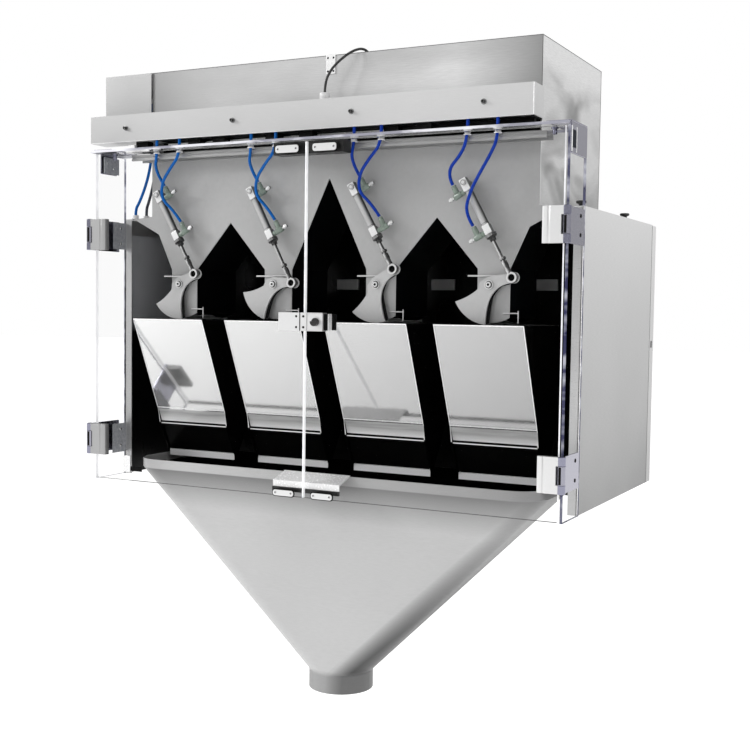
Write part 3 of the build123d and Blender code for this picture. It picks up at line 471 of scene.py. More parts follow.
# painted light and shade: the duct lighter towards its right end, the side and rear covers darker towards the
# bottom
m_duct = graded("duct_steel", "X", -0.54, 0.20, 0.42, 0.68, 0.34, 0.45)
m_cover = graded("cover_steel", "Z", 0.0, 0.54, 0.19, 0.68, 0.42, 0.2)
m_rear = graded("rear_cover_steel", "Z", 0.0, 0.54, 0.40, 0.70, 0.42, 0.2)
m_funnel = funnel_steel()
m_cabinet = sheet_steel("cabinet_steel", 0.42, 0.60, 0.32, 0.6)
m_plate = plate_grey("chute_plate_grey", 0.40)
m_gate = plate_grey("gate_grey", 0.50)
m_bucket = bucket_steel()
m_flap = flap_steel()
# the chutes' steel painted near black as a dark reflection
m_dark = dark_coat("chute_dark", 0.0022, 0.35, 0.15, gloss=0.06)
m_liner = liner_coat()
m_black = dark_coat("black_plastic", 0.010, 0.35)
# near black: the colour of black parts, and painted shade in sockets, bores and gaps
m_black_and_shade = dark_coat("black_and_painted_shade", 0.002, 0.6, gloss=0.1)
m_cable = dark_coat("cable_sheath", 0.012, 0.45)
m_side_hose = dark_coat("dark_blue_hose", 0.025, 0.3, tint=0.3)
m_chrome = bright("hardware_chrome", 0.80, 0.18)
m_violet = bright("bracket_plating", 0.40, 0.22, (0.95, 0.94, 1.10))
m_knuckle = bright("knuckle_plating", 0.34, 0.18, (0.90, 0.90, 1.15))
m_navy = dark_coat("slot_navy", 0.006, 0.4, 0.6, 0.05)
m_screw = bright("screw_steel", 0.55, 0.25)
# the lit materials below carry painted light and shade, lighter on faces turned towards their axis and darker
# on faces turned away
m_tube = lit("cylinder_tube", 0.50, 0.05, (-0.5, -0.85, 0.1), 0.3, 0.3, 0.1, 0.75)
m_cap = lit("cylinder_cap", 0.85, 0.16, (-0.7, -0.7, 0.2), 0.3, 0.4, 0.0, 0.5)
m_nut = lit("nut_steel", 0.30, 0.05, (-0.7, -0.6, 0.4), 0.3, 0.5, 0.0, 0.7)
m_rail = lit("rail_aluminium", 0.72, 0.30, (0, -0.2, 1), 0.3, 0.6, 0.1, 0.5)
m_rod = lit("rod_chrome", 0.75, 0.05, (-0.9, -0.4, 0.2), 0.2, 0.6, 0.1, 0.7)
m_ring = lit("eye_ring", 0.70, 0.20, (-0.2, -1, 0.3), 0.3, 0.5, 0.2, 0.6)
m_satin = lit("hardware_satin", 0.76, 0.26, (-0.2, -1, 0.1), 0.3, 0.35, 0.2, 0.8)
# the left hinge housing: a darker copy of the hinge satin, as painted shade
m_housing_left = lit("hinge_satin_painted_shade", 0.40, 0.16, (0.1, -1, 0), 0.35, 0.4, 0.2, 0.9)
# painted highlight for thin edges, hems, lips and lines, painted darker where they turn away
m_highlight_edge = lit("painted_highlight_edge", 0.95, 0.55, (0, -1, 0.4), 0.25, 0.3, -0.2, 0.5)
m_lit_rail = lit("rail_face", 0.30, 0.55, (0, -1, 0), 0.3, 0.6, 0.2, 0.8)
m_screw_lit = lit("duct_screw", 0.55, 0.02, (-0.8, -0.4, 0.4), 0.25, 0.6, 0.0, 0.6)
m_cell = lit("cell_cover_grey", 0.36, 0.12, (0, -1, 0.3), 0.35, 0.3, 0.2, 0.8)
m_edge_dark = dark_coat("edge_shade", 0.10, 0.5, 0.0, 0.2)
m_leaf_dark = dark_coat("leaf_grey", 0.24, 0.4, 0.04, 0.2)
m_fitting = plastic("fitting_grey_green", (0.15, 0.19, 0.16), (0.22, 0.27, 0.23), 0.30, 0.2, 0.4)
m_hose = plastic("hose_blue", (0.003, 0.090, 0.34), (0.004, 0.115, 0.42), 0.3, gloss=0.12)
m_hose_deep = plastic("hose_deep_blue", (0.003, 0.028, 0.26), (0.004, 0.042, 0.36), 0.3, gloss=0.12)
m_white = plastic("white_nylon", (0.62, 0.62, 0.63), (0.75, 0.75, 0.75), 0.4)
m_door = acrylic("acrylic_door", (0, 1, 0), (0.80, 0.81, 0.83), (0.95, 0.95, 0.96), 0.95, 0.010, glow=0.35)
m_side = acrylic("acrylic_side", (1, 0, 0), (0.030, 0.032, 0.10), (0.50, 0.51, 0.58), 0.9, 0.012, 2.0)
m_top = acrylic("acrylic_top", (0, 0, 1), (0.34, 0.34, 0.40), (0.85, 0.85, 0.90), 0.9, 0.02)


PAINT = {
    m_box: ("feeder_box", "feeder_pans"), m_end: ("end_housing",), m_duct: ("hose_duct",),
    m_cover: ("side_cover_right", "side_cover_left"), m_rear: ("rear_cover",), m_funnel: ("funnel",),
    m_cabinet: ("cabinet",), m_highlight_edge: ("sill_bracket",), m_plate: ("chute_plate",), m_liner: ("bay_liner",),
    m_dark: ("chutes",), m_black: ("door_catches", "lock_knob", "cover_knob_front", "cover_knob_rear"),
    m_violet: ("corner_brackets", "hinge_brackets"), m_chrome: ("door_hardware_left", "door_hardware_right"),
    m_ring: ("head_pins",), m_screw: ("top_trim",), m_rail: ("header_rail",),
    m_door: ("door_left", "door_right"), m_side: ("side_glass",), m_top: ("top_glass",),
    m_cable: ("cable",), m_white: ("glands",),
    m_gate: [f"gate_{n}" for n in range(1, 5)], m_bucket: [f"bucket_{n}" for n in range(1, 5)],
    m_flap: [f"flap_{n}" for n in range(1, 5)]}
for material, names in PAINT.items():
    for name in names:
        nodes[name].data.materials.clear()
        nodes[name].data.materials.append(material)


# ================= hoses and cable =================
def spline_tube(name, points, radius, material):
    """Round tube along one NURBS spline whose control points are the route."""
    curve = bpy.data.curves.new(name, "CURVE")
    curve.dimensions = "3D"
    curve.bevel_depth = radius
    curve.bevel_resolution = 4
    curve.resolution_u = 8
    curve.use_fill_caps = True
    s = curve.splines.new("NURBS")
    s.points.add(len(points) - 1)
    for point, p in zip(s.points, points):
        point.co = (*p, 1.0)
    s.order_u = 3
    s.use_endpoint_u = True
    o = bpy.data.objects.new(name, curve)
    scene.collection.objects.link(o)
    o.data.materials.append(material)
    return o


def length_of(o):
    """Length of the curve's own line, in metres."""
    copy = o.copy()
    copy.data = o.data.copy()
    copy.data.bevel_depth = 0.0
    copy.data.use_fill_caps = False
    mesh = bpy.data.meshes.new_from_object(copy)
    ends = [[mesh.vertices[k].co for k in e.vertices] for e in mesh.edges]
    total = sum((a - b).length for a, b in ends)
    bpy.data.objects.remove(copy)
    bpy.data.meshes.remove(mesh)
    return total


def hose_points(i, which):
    """Route of one cylinder's rear (0) or front (1) hose, from the duct down to its speed controller."""
    rx, rz = rear_pivot(i)
    lean = cylinder_pose(i)[1]
    t, s = FIT_SIDE[i] * BRANCH_T, PORT_S[which] - BRANCH_L - FACE
    ex = rx + t * math.cos(lean) + s * math.sin(lean)
    ez = rz + t * math.sin(lean) - s * math.cos(lean)
    up = (-math.sin(lean), math.cos(lean))
    x0 = rx + HOSE_DX[which]
    top = HOSE_Z1
    if which == 0:
        mid = [(x0 - 1.0, HOSE_Y + 1.0, top - 30.0)]
        if FIT_SIDE[i] > 0:
            mid += [(ex + up[0] * 30.0 + 1.0, HOSE_Y + 9.0, ez + up[1] * 30.0 + 4.0)]
        else:
            mid += [(x0 - 13.0, HOSE_Y + 5.0, top - 58.0),
                    (ex + up[0] * 26.0 + 3.0, CYL_Y - 9.0, ez + up[1] * 26.0)]
    elif FIT_SIDE[i] > 0:
        mid = [(x0 + 1.0, HOSE_Y - 1.0, top - 32.0), (rx + 47.0, HOSE_Y, rz + 50.0),
               (rx + 24.0, HOSE_Y + 3.0, rz + 22.0), (rx + 20.0, HOSE_Y + 8.0, rz - 10.0),
               (ex + up[0] * 26.0, CYL_Y - 8.0, ez + up[1] * 26.0)]
    else:
        mid = [(x0 + 1.0, HOSE_Y - 1.0, top - 34.0), (rx + 58.0, HOSE_Y, rz + 46.0),
               (rx + 36.0, HOSE_Y + 2.0, rz + 12.0), (rx + 17.0, HOSE_Y + 6.0, rz - 20.0),
               (ex + up[0] * 26.0, CYL_Y - 9.0, ez + up[1] * 26.0)]
    return [(x0, HOSE_Y, top)] + mid + [(ex, CYL_Y, ez)]


SIDE_X = -BOX_HALF - 8.0
SIDE_Z0 = CAB_H + SKIN + 8.0
SIDE_Z1 = DUCT_Z[1] + 30.0
routes = {
    "hose_side": [
        (SIDE_X, 4.0, SIDE_Z1), (SIDE_X, 4.0, SIDE_Z1 - 40.0), (SIDE_X + 1.0, 2.0, SIDE_Z1 - 85.0),
        (SIDE_X - 3.0, 1.0, SIDE_Z1 - 125.0), (SIDE_X - 16.0, 3.0, SIDE_Z1 - 165.0),
        (SIDE_X - 36.0, 5.0, SIDE_Z1 - 203.0), (SIDE_X - 46.0, 6.0, SIDE_Z0 + 14.0),
        (SIDE_X - 46.0, 6.0, SIDE_Z0)],
    "hose_side_dark": [
        (SIDE_X - 6.0, 26.0, SIDE_Z1), (SIDE_X - 6.0, 26.0, SIDE_Z1 - 40.0),
        (SIDE_X - 5.0, 24.0, SIDE_Z1 - 85.0), (SIDE_X - 8.0, 24.0, SIDE_Z1 - 128.0),
        (SIDE_X - 17.0, 26.0, SIDE_Z1 - 168.0), (SIDE_X - 30.0, 28.0, SIDE_Z1 - 202.0),
        (SIDE_X - 36.0, 29.0, SIDE_Z0 + 16.0), (SIDE_X - 36.0, 29.0, SIDE_Z0)]}
for i in range(4):
    routes[f"hose_{i + 1}_rear"] = hose_points(i, 0)
    routes[f"hose_{i + 1}_front"] = hose_points(i, 1)
gland_z = DUCT_Z[1] + GLAND_H
routes["cable"] = [
    (*GLAND_XY, gland_z), (*GLAND_XY, gland_z + 20.0), (17.0, -37.0, gland_z + 43.0),
    (36.0, -32.0, gland_z + 62.0), (54.0, -20.0, BOX_Z1 + 2.0), (68.0, -3.0, BOX_Z1 + 9.0),
    (*INNER_GLAND, BOX_Z1 - 3.0), (*INNER_GLAND, INNER_Z + 10.0)]
# the cords that aren't plain blue: radius in metres, material, slot
HOSE_R = 0.003
CORD_LOOKS = {"cable": (0.0024, m_cable, "black_rubber"),
              "hose_side_dark": (HOSE_R, m_side_hose, "black_rubber")}
for name in ("hose_4_rear", "hose_4_front", "hose_3_rear", "hose_3_front"):
    CORD_LOOKS[name] = (HOSE_R, m_hose_deep, "blue_hose")
for name, route in routes.items():
    radius, material, finish = CORD_LOOKS.get(name, (HOSE_R, m_hose, "blue_hose"))
    piece = spline_tube(name + "_run", [P(*p) for p in route], radius, material)
    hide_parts(name)
    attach(piece, "frame")
    round(length_of(piece), 3)


# ================= mesh helpers =================
def piece_from(name, bm, material, body, bevel=0.0, smooth=True, replaces=()):
    """Turns a bmesh into a visible piece that rides on body; bevel is in millimetres."""
    bmesh.ops.recalc_face_normals(bm, faces=bm.faces)
    mesh = bpy.data.meshes.new(name)
    bm.to_mesh(mesh)
    bm.free()
    mesh.materials.append(material)
    o = bpy.data.objects.new(name, mesh)
    scene.collection.objects.link(o)
    if smooth:
        mesh.shade_smooth()
        mesh.set_sharp_from_angle(angle=math.radians(35))
    if bevel:
        mod = o.modifiers.new("bevel", "BEVEL")
        mod.width = bevel * MM
        mod.segments = 2
        mod.limit_method = "ANGLE"
        mod.angle_limit = math.radians(40)
        mod.harden_normals = False
    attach(o, body)
    for node in replaces:
        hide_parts(node)
    return o


def fresh(count):
    """Several new bmeshes."""
    return [bmesh.new() for _ in range(count)]


def add_box(bm, x0, x1, y0, y1, z0, z1, place=None):
    """Box in drawing millimetres, or in a local frame when place is given."""
    corners = [(x, y, z) for x in (x0, x1) for y in (y0, y1) for z in (z0, z1)]
    to = (lambda p: place @ (Vector(p) * MM)) if place else (lambda p: P(*p))
    v = [bm.verts.new(to(c)) for c in corners]
    for quad in ((0, 1, 3, 2), (4, 6, 7, 5), (0, 4, 5, 1), (2, 3, 7, 6), (0, 2, 6, 4), (1, 5, 7, 3)):
        bm.faces.new([v[k] for k in quad])


def boxes(*spans, place=None):
    """New bmesh of boxes, each (x0, x1, y0, y1, z0, z1)."""
    bm = bmesh.new()
    for box in spans:
        add_box(bm, *box, place=place)
    return bm


def add_lathe(bm, profile, place, steps=28):
    """Turned shape: (radius, height) points round the local Z axis of place, in millimetres."""
    rings = []
    for r, h in profile:
        if r <= 0:
            rings.append([bm.verts.new(place @ (Vector((0, 0, h)) * MM))])
        else:
            rings.append([bm.verts.new(place @ (Vector((r * math.cos(math.tau * k / steps),
                                                        r * math.sin(math.tau * k / steps), h)) * MM))
                          for k in range(steps)])
    for a, b in zip(rings, rings[1:]):
        for k in range(steps):
            n = (k + 1) % steps
            if len(a) == 1 and len(b) == 1:
                continue
            if len(a) == 1:
                bm.faces.new((a[0], b[k], b[n]))
            elif len(b) == 1:
                bm.faces.new((a[k], b[0], a[n]))
            else:
                bm.faces.new((a[k], b[k], b[n], a[n]))


def add_prism(bm, outline, z0, z1, place):
    """Outline in the local XY plane of place, extruded from z0 to z1, in millimetres."""
    low = [bm.verts.new(place @ (Vector((x, y, z0)) * MM)) for x, y in outline]
    high = [bm.verts.new(place @ (Vector((x, y, z1)) * MM)) for x, y in outline]
    count = len(outline)
    for k in range(count):
        n = (k + 1) % count
        bm.faces.new((low[k], low[n], high[n], high[k]))
    bm.faces.new(low[::-1])
    bm.faces.new(high)


def polygon(sides, radius):
    """Regular outline with its first corner on the local X axis."""
    return [(radius * math.cos(math.tau * k / sides), radius * math.sin(math.tau * k / sides))
            for k in range(sides)]


def rounded(w, h, r, steps=5):
    """Rounded rectangle outline centred on the origin."""
    out = []
    for cx, cy, a0 in ((1, 1, 0), (-1, 1, 90), (-1, -1, 180), (1, -1, 270)):
        for k in range(steps + 1):
            a = math.radians(a0 + 90 * k / steps)
            out.append((cx * (w / 2 - r) + r * math.cos(a), cy * (h / 2 - r) + r * math.sin(a)))
    return out


def at(x, y, z, axis="z"):
    """Local frame at a drawing point whose Z axis points along -y (to the front), x or z."""
    turns = {"z": Matrix.Identity(4), "-y": Matrix.Rotation(math.radians(90), 4, "X"),
             "x": Matrix.Rotation(math.radians(90), 4, "Y")}
    return Matrix.Translation(P(x, y, z)) @ turns[axis]


def pan_head(r, h):
    """Lathe profile of a low domed screw head."""
    return [(0, 0), (r, 0), (r, 0.35 * h), (0.86 * r, 0.8 * h), (0.55 * r, h), (0, h)]


def screws(name, places, r, h, body, material=m_screw):
    """Group of screw heads with hexagon sockets painted black as shade."""
    heads, sockets = fresh(2)
    for place in places:
        add_lathe(heads, pan_head(r, h), place, 20)
        add_prism(sockets, polygon(6, 0.5 * r), 0.6 * h, h + 0.06, place)
    piece_from(name, heads, material, body)
    piece_from(name + "_sockets", sockets, m_black_and_shade, body, smooth=False)


# ================= gate cylinders and rods =================
def hex_nut(bm, flats_r, h0, h1, place):
    """Hexagon with chamfered corners along local Z."""
    add_prism(bm, polygon(6, flats_r), h0 + 0.8, h1 - 0.8, place)
    add_lathe(bm, [(flats_r * 0.80, h0), (flats_r * 0.93, h0 + 0.8), (flats_r * 0.93, h1 - 0.8),
                   (flats_r * 0.80, h1)], place, 24)


def knurl(bm, r, h0, h1, place, teeth=16):
    """Toothed grip round local Z."""
    outline = []
    for k in range(teeth * 2):
        a = math.tau * k / (teeth * 2)
        size = r if k % 2 else r * 0.9
        outline.append((size * math.cos(a), size * math.sin(a)))
    add_prism(bm, outline, h0, h1, place)


def along_cylinder(i):
    """Frame at the rear pivot of cylinder i: Z runs to the rod's eye, X points the other way."""
    rx, rz = rear_pivot(i)
    lean = Matrix.Rotation(-cylinder_pose(i)[1], 4, "Y")
    return at(rx, CYL_Y, rz) @ lean @ Matrix.Rotation(math.pi, 4, "Y")


def make_cylinder(i):
    """Square end blocks, grooved tube, nut with thread, and two speed controllers."""
    body = f"cylinder_{i + 1}"    # the body and its CAD node share this name
    place = along_cylinder(i)
    half = BLOCK / 2
    caps = boxes((-half, half, -half, half, -8.0, 16.0), (-half, half, -half, half, 86.0, 104.0), place=place)
    piece_from(body + "_caps", caps, m_cap, body, bevel=0.9, smooth=False, replaces=(body,))
    tube = bmesh.new()
    add_lathe(tube, [(6.2, 15.5), (7.3, 15.8), (7.3, 17.4), (6.3, 17.8), (6.3, 18.6), (7.0, 19.2),
                     (7.0, 82.4), (6.3, 83.0), (6.3, 83.8), (7.3, 84.2), (7.3, 86.0)], place, 36)
    piece_from(body + "_tube", tube, m_tube, body)
    nut = bmesh.new()
    hex_nut(nut, 11.0, 104.0, 111.0, place)
    thread = [(4.0, 111.0)]
    for k in range(7):
        thread += [(6.0, 111.2 + k), (5.4, 111.7 + k)]
    add_lathe(nut, thread + [(3.2, 118.0)], place, 28)
    piece_from(body + "_nut", nut, m_nut, body)
    side = FIT_SIDE[i]
    bodies, rings, knobs = fresh(3)
    for s in PORT_S:
        port = Matrix.Translation(Vector((0, 0, s)) * MM)
        out = place @ port @ Matrix.Rotation(-side * math.pi / 2, 4, "Y")
        add_lathe(bodies, [(3.5, 6.6), (5.0, 7.2), (5.0, 12.5), (4.4, 13.0), (4.4, 14.0), (5.6, 14.6),
                           (5.6, 29.0), (4.8, 30.2), (3.2, 30.6)], out, 26)
        branch = Matrix.Translation(Vector((-side * BRANCH_T, 0, s)) * MM)
        up_branch = place @ branch @ Matrix.Rotation(math.pi, 4, "Y")
        add_lathe(bodies, [(3.0, 0), (5.2, 0.5), (5.2, 15.0), (4.7, 16.2), (3.4, 16.4)], up_branch, 26)
        add_lathe(rings, [(3.3, 15.8), (4.6, 16.4), (4.6, 18.2), (5.0, 18.6), (5.0, 19.6), (3.4, 20.0)],
                  up_branch, 26)
        add_lathe(knobs, [(2.0, 30.0), (2.8, 30.4), (2.8, 34.0), (3.6, 34.2)], out, 20)
        knurl(knobs, 3.9, 34.0, 38.5, out)
        add_lathe(knobs, [(3.3, 38.4), (3.3, 40.6), (2.6, 41.4), (0, 41.6)], out, 20)
    piece_from(body + "_controllers", bodies, m_fitting, body)
    piece_from(body + "_release_rings", rings, m_fitting, body)
    piece_from(body + "_knobs", knobs, m_ring, body)


def make_rod(i):
    """Rod from inside the cylinder to its lock nut and rod end, with the eye, spacer and bolt."""
    body = f"rod_{i + 1}"    # the body and its CAD node share this name
    length = cylinder_pose(i)[0]
    place = along_cylinder(i)
    turn = Matrix.Rotation(math.radians(90), 4, "X")
    eye = place @ Matrix.Translation(Vector((0, 0, length)) * MM) @ turn
    nut = length - SHANK_L
    steel = bmesh.new()
    add_lathe(steel, [(0, length - ROD_IN), (ROD_R, length - ROD_IN), (ROD_R, nut + 2.0)], place, 24)
    hex_nut(steel, 6.4, nut, nut + 5.0, place)
    add_lathe(steel, [(3.4, nut + 5.0), (3.4, nut + 7.5), (5.2, nut + 8.3), (5.2, length - 22.0),
                      (4.5, length - 21.0), (4.5, length - 15.0), (5.2, length - 8.5)], place, 24)
    piece_from(body + "_shank", steel, m_rod, body, replaces=(body,))
    ring = bmesh.new()
    add_lathe(ring, [(6.2, -4.1), (6.7, -4.5), (9.3, -4.5), (9.9, -3.9), (10.0, -3.2), (10.0, 3.2),
                     (9.9, 3.9), (9.3, 4.5), (6.7, 4.5), (6.2, 4.1), (6.2, -4.1)], eye, 40)
    piece_from(body + "_eye", ring, m_ring, body)
    # local Z of the eye frame points to the front, so the spacer and nut are at negative heights
    # painted shade: the spacer and bolt inside the eye are black, as shade in its bore
    inner = bmesh.new()
    back = CYL_Y - GATE_Y0
    behind = back - PLATE_T
    add_lathe(inner, [(0, 1.2), (2.6, 1.2), (3.2, 0.6), (6.1, 0.2), (6.1, -4.4), (5.9, back + 0.4),
                      (3.0, back + 0.4), (3.0, behind - 1.0), (5.6, behind - 0.4), (5.6, behind - 4.4),
                      (0, behind - 4.4)], eye, 28)
    piece_from(body + "_bolt", inner, m_black_and_shade, body)


for i in range(4):
    make_cylinder(i)
    make_rod(i)


# ================= weigh bucket hems and flap corners, painted as highlights ===
def strip_frame(a, b):
    """Frame on the front of a sheet from a to b in the YZ plane: X along X, Y down the sheet, Z outwards."""
    down = Vector((0, b[0] - a[0], b[1] - a[1])).normalized()
    out = Vector((1, 0, 0)).cross(down)
    m = Matrix((Vector((1, 0, 0)), down, out)).transposed().to_4x4()
    return Matrix.Translation(P(0, a[0], a[1])) @ m


def span(a, b):
    return math.hypot(b[0] - a[0], b[1] - a[1])


upper, lower = strip_frame(BUCKET_TOP, BUCKET_FOLD), strip_frame(BUCKET_FOLD, BUCKET_LOW)
upper_l, lower_l = span(BUCKET_TOP, BUCKET_FOLD), span(BUCKET_FOLD, BUCKET_LOW)
side_sign = 1.0 if (upper @ Vector((0, 0, 1)) - upper @ Vector((0, 0, 0))).y < 0 else -1.0
for i, c in enumerate(CENTRES):
    x0, x1 = c + BUCKET_DX - BUCKET_W / 2, c + BUCKET_DX + BUCKET_W / 2
    lift = sorted((0.0, 0.7 * side_sign))
    # painted highlight: pale strips along each bucket's top, sides and fold, and on the flap's corners and
    # lip
    hem = boxes((x0, x1, -0.3, 1.8, *lift), (x0, x0 + 1.4, 1.8, upper_l, *lift),
                (x1 - 1.4, x1, 1.8, upper_l, *lift),
                (x0, x1, upper_l - 2.2, upper_l - 0.4, *lift), place=upper)
    add_box(hem, x1 - 1.4, x1, 0.0, lower_l, *lift, lower)
    piece_from(f"bucket_{i + 1}_hem", hem, m_highlight_edge, "frame", bevel=0.2, smooth=False)
    ey, ez = FLAP_END
    low = ez - FLAP_LIP
    tabs = boxes(*((x, x + 1.2, ey - 1.2, ey, low, ez + 24.0) for x in (x0 + 4.0, x1 - 5.2)))
    piece_from(f"flap_{i + 1}_corners", tabs, m_highlight_edge, f"flap_{i + 1}", bevel=0.2, smooth=False)
    lip = boxes((x0 + 4.0, x1 - 4.0, ey - 2.4, ey + 0.4, ez + 0.4, ez + 1.6),
                (x0 + 4.0, x1 - 4.0, ey - 0.2, ey + 0.5, low, low + 1.4))
    piece_from(f"flap_{i + 1}_hem", lip, m_highlight_edge, f"flap_{i + 1}", bevel=0.2, smooth=False)

cells = boxes(*((x0, x1, 201.0, 208.0, 396.0, 418.0) for x0, x1 in ((-98, -47), (121, 172), (339, 388))))
piece_from("cell_covers", cells, m_cell, "frame", bevel=1.0, smooth=False)

# ================= door hinges, lock and strikes =================
BAR_R, PIN_R, PLAY_Z = 7.0, 3.0, 0.4
HOUSING_T, HOUSING_IN, HOUSING_OUT, ARM_IN = 12.0, 461.0, 495.4, 494.6
for side, tag in ((1, "right"), (-1, "left")):
    # the left housing gets the darker copy of the satin, as painted shade
    skin = m_satin if side > 0 else m_housing_left
    housing, slots, barrel, caps = fresh(4)
    pin = Matrix.Translation(P(side * BARREL[0], BARREL[1], 0))
    slot_y = BARREL[1] - BAR_R
    for hz in HINGE_Z:
        y0 = DOOR_Y0 - HOUSING_T
        outline = [(HOUSING_IN, DOOR_Y0), (HOUSING_IN, y0 + 4.5), (462.2, y0 + 1.6), (464.8, y0 + 0.2),
                   (471.0, y0), (472.2, y0 + 1.1), (474.6, y0 + 1.1), (475.8, y0),
                   (HOUSING_OUT, y0), (HOUSING_OUT, DOOR_Y0)]
        base = Matrix.Translation(P(0, 0, 0))
        add_prism(housing, [(side * x, y) for x, y in outline], hz - LEAF_H, hz + LEAF_H, base)
        top = hz + LEAF_H
        for z0, z1 in ((hz - LEAF_H, hz - KNUCKLE - PLAY_Z), (hz + KNUCKLE + PLAY_Z, top)):
            arm_x = sorted((side * ARM_IN, side * BARREL[0]))
            add_box(housing, *arm_x, y0, DOOR_Y0 - 4.0, z0, z1)
            add_lathe(barrel, [(PIN_R + 0.1, z0), (BAR_R - 0.5, z0), (BAR_R, z0 + 0.5), (BAR_R, z1 - 0.5),
                               (BAR_R - 0.5, z1), (PIN_R + 0.1, z1), (PIN_R + 0.1, z0)], pin, 32)
        # painted shade: a black strip in the gap between housing and barrel
        slot_x = sorted((side * 500.9, side * 505.2))
        add_box(slots, *slot_x, slot_y - 0.5, slot_y + 0.6, hz - 14.6, hz + 14.6)
        add_lathe(caps, [(0, top), (5.0, top), (5.4, top + 0.6), (0, top + 1.4)], pin, 24)
    door = f"door_{tag}"
    piece_from(f"hinge_housing_{tag}", housing, skin, door, bevel=0.5,
               replaces=(f"door_hardware_{tag}",))
    piece_from(f"hinge_knuckles_{tag}", barrel, m_knuckle, door)
    piece_from(f"hinge_slots_{tag}", slots, m_black_and_shade, "frame", smooth=False)
    piece_from(f"hinge_caps_{tag}", caps, m_knuckle, "frame")

    # strikes: rounded plates with two screws, each on a slightly larger black plate that shows as a black rim
    (plates, backs), heads = fresh(2), []
    for x0, x1, z0, z1 in STRIKES:
        cx, cz = side * (x0 + x1) / 2, (z0 + z1) / 2
        add_prism(plates, rounded(x1 - x0, z1 - z0, 4.8), 0.2, 2.0, at(cx, DOOR_Y0, cz, "-y"))
        add_prism(backs, rounded(x1 - x0 + 4.0, z1 - z0 + 3.2, 6.0), 0.0, 0.6, at(cx, DOOR_Y0, cz, "-y"))
        heads += [at(side * x, DOOR_Y0 - 2.0, cz, "-y") for x in (x0 + 5.5, x1 - 5.5)]
    piece_from(f"strikes_{tag}", plates, m_satin, door, bevel=0.4, smooth=False,
               replaces=(f"door_hardware_{tag}",))
    piece_from(f"strike_backs_{tag}", backs, m_black_and_shade, door, smooth=False)
    screws(f"strike_screws_{tag}", heads, 2.4, 0.8, door)

# centre lock: a plate on each door, with a raised border and a black body on the right one
lock_y = DOOR_Y0 - LOCK_T
lock_z = (LOCK_Z - LOCK_H, LOCK_Z + LOCK_H)
body_z = (LOCK_Z - 15.0, LOCK_Z + 15.0)
left_lock = boxes((-46.5, -0.8, lock_y, DOOR_Y0, *lock_z))
right_lock = boxes((0.8, 49.0, lock_y + 0.6, DOOR_Y0, *lock_z))
border = boxes(*((x0, x1, lock_y - 0.4, lock_y + 0.8, LOCK_Z + z0, LOCK_Z + z1) for x0, x1, z0, z1 in (
    (14.0, 48.8, LOCK_H - 1.2, LOCK_H), (14.0, 48.8, -LOCK_H, 1.2 - LOCK_H),
    (47.6, 48.8, -LOCK_H, LOCK_H), (14.0, 15.2, -LOCK_H, LOCK_H))))
block = boxes((49.2, 58.0, lock_y + 3.0, DOOR_Y0, *body_z),
              (6.8, 58.0, DOOR_Y0 + DOOR_T, DOOR_Y0 + DOOR_T + 12.0, *body_z))
# painted highlight: a pale line down the edge of the black body
line = boxes((58.0, 59.2, lock_y + 3.0, DOOR_Y0, *body_z))
piece_from("lock_plate_left", left_lock, m_satin, "door_left", bevel=0.8, smooth=False,
           replaces=("door_hardware_left",))
piece_from("lock_plate_right", right_lock, m_satin, "door_right", bevel=0.8, smooth=False,
           replaces=("door_hardware_right",))
piece_from("lock_border", border, m_ring, "door_right", bevel=0.3, smooth=False)
piece_from("lock_body", block, m_black_and_shade, "door_right", bevel=0.8, smooth=False,
           replaces=("door_hardware_right",))
piece_from("lock_body_line", line, m_highlight_edge, "door_right", bevel=0.2, smooth=False)
for tag, sx in (("left", -7.5), ("right", 7.5)):
    dots = bmesh.new()
    for dz in (-10.0, 10.0):
        add_lathe(dots, [(0, 0.7), (1.7, 0.7), (2.1, 0.3), (2.1, -0.8)],
                  at(sx, lock_y, LOCK_Z + dz, "-y"), 16)
    piece_from(f"lock_screws_{tag}", dots, m_black_and_shade, f"door_{tag}")

# ================= gate pivot screws and clevis pins =================
for i, c in enumerate(CENTRES):
    heads, dark = fresh(2)
    pivot = at(c + PIVOT_DX, GATE_Y0 - PLAY, PIVOT_Z, "-y")
    add_lathe(heads, [(0, 4.9), (3.0, 4.9), (4.6, 4.2), (5.2, 2.8), (5.2, 1.9), (8.3, 1.8), (8.4, 0.6)],
              pivot, 32)
    # painted shade: a black ring round each pivot screw head and a black hexagon in its socket
    add_lathe(dark, [(5.3, 1.95), (6.6, 1.95)], pivot, 32)
    add_prism(dark, polygon(6, 2.5), 4.2, 5.0, pivot)
    rx, rz = rear_pivot(i)
    pin = at(rx, CYL_Y - BLOCK / 2, rz, "-y")
    clip = bmesh.new()
    add_lathe(clip, [(3.3, 0.0), (5.2, 0.0), (5.3, 0.7), (5.3, 2.6), (4.6, 3.4), (3.3, 3.5)], pin, 28)
    piece_from(f"clevis_clip_{i + 1}", clip, m_nut, "frame")
    # painted shade: a black disc in the clevis clip's bore
    add_lathe(dark, [(0, 3.3), (3.4, 3.3)], pin, 28)
    piece_from(f"head_screws_{i + 1}", heads, m_ring, "frame")
    piece_from(f"head_recess_{i + 1}", dark, m_black_and_shade, "frame")

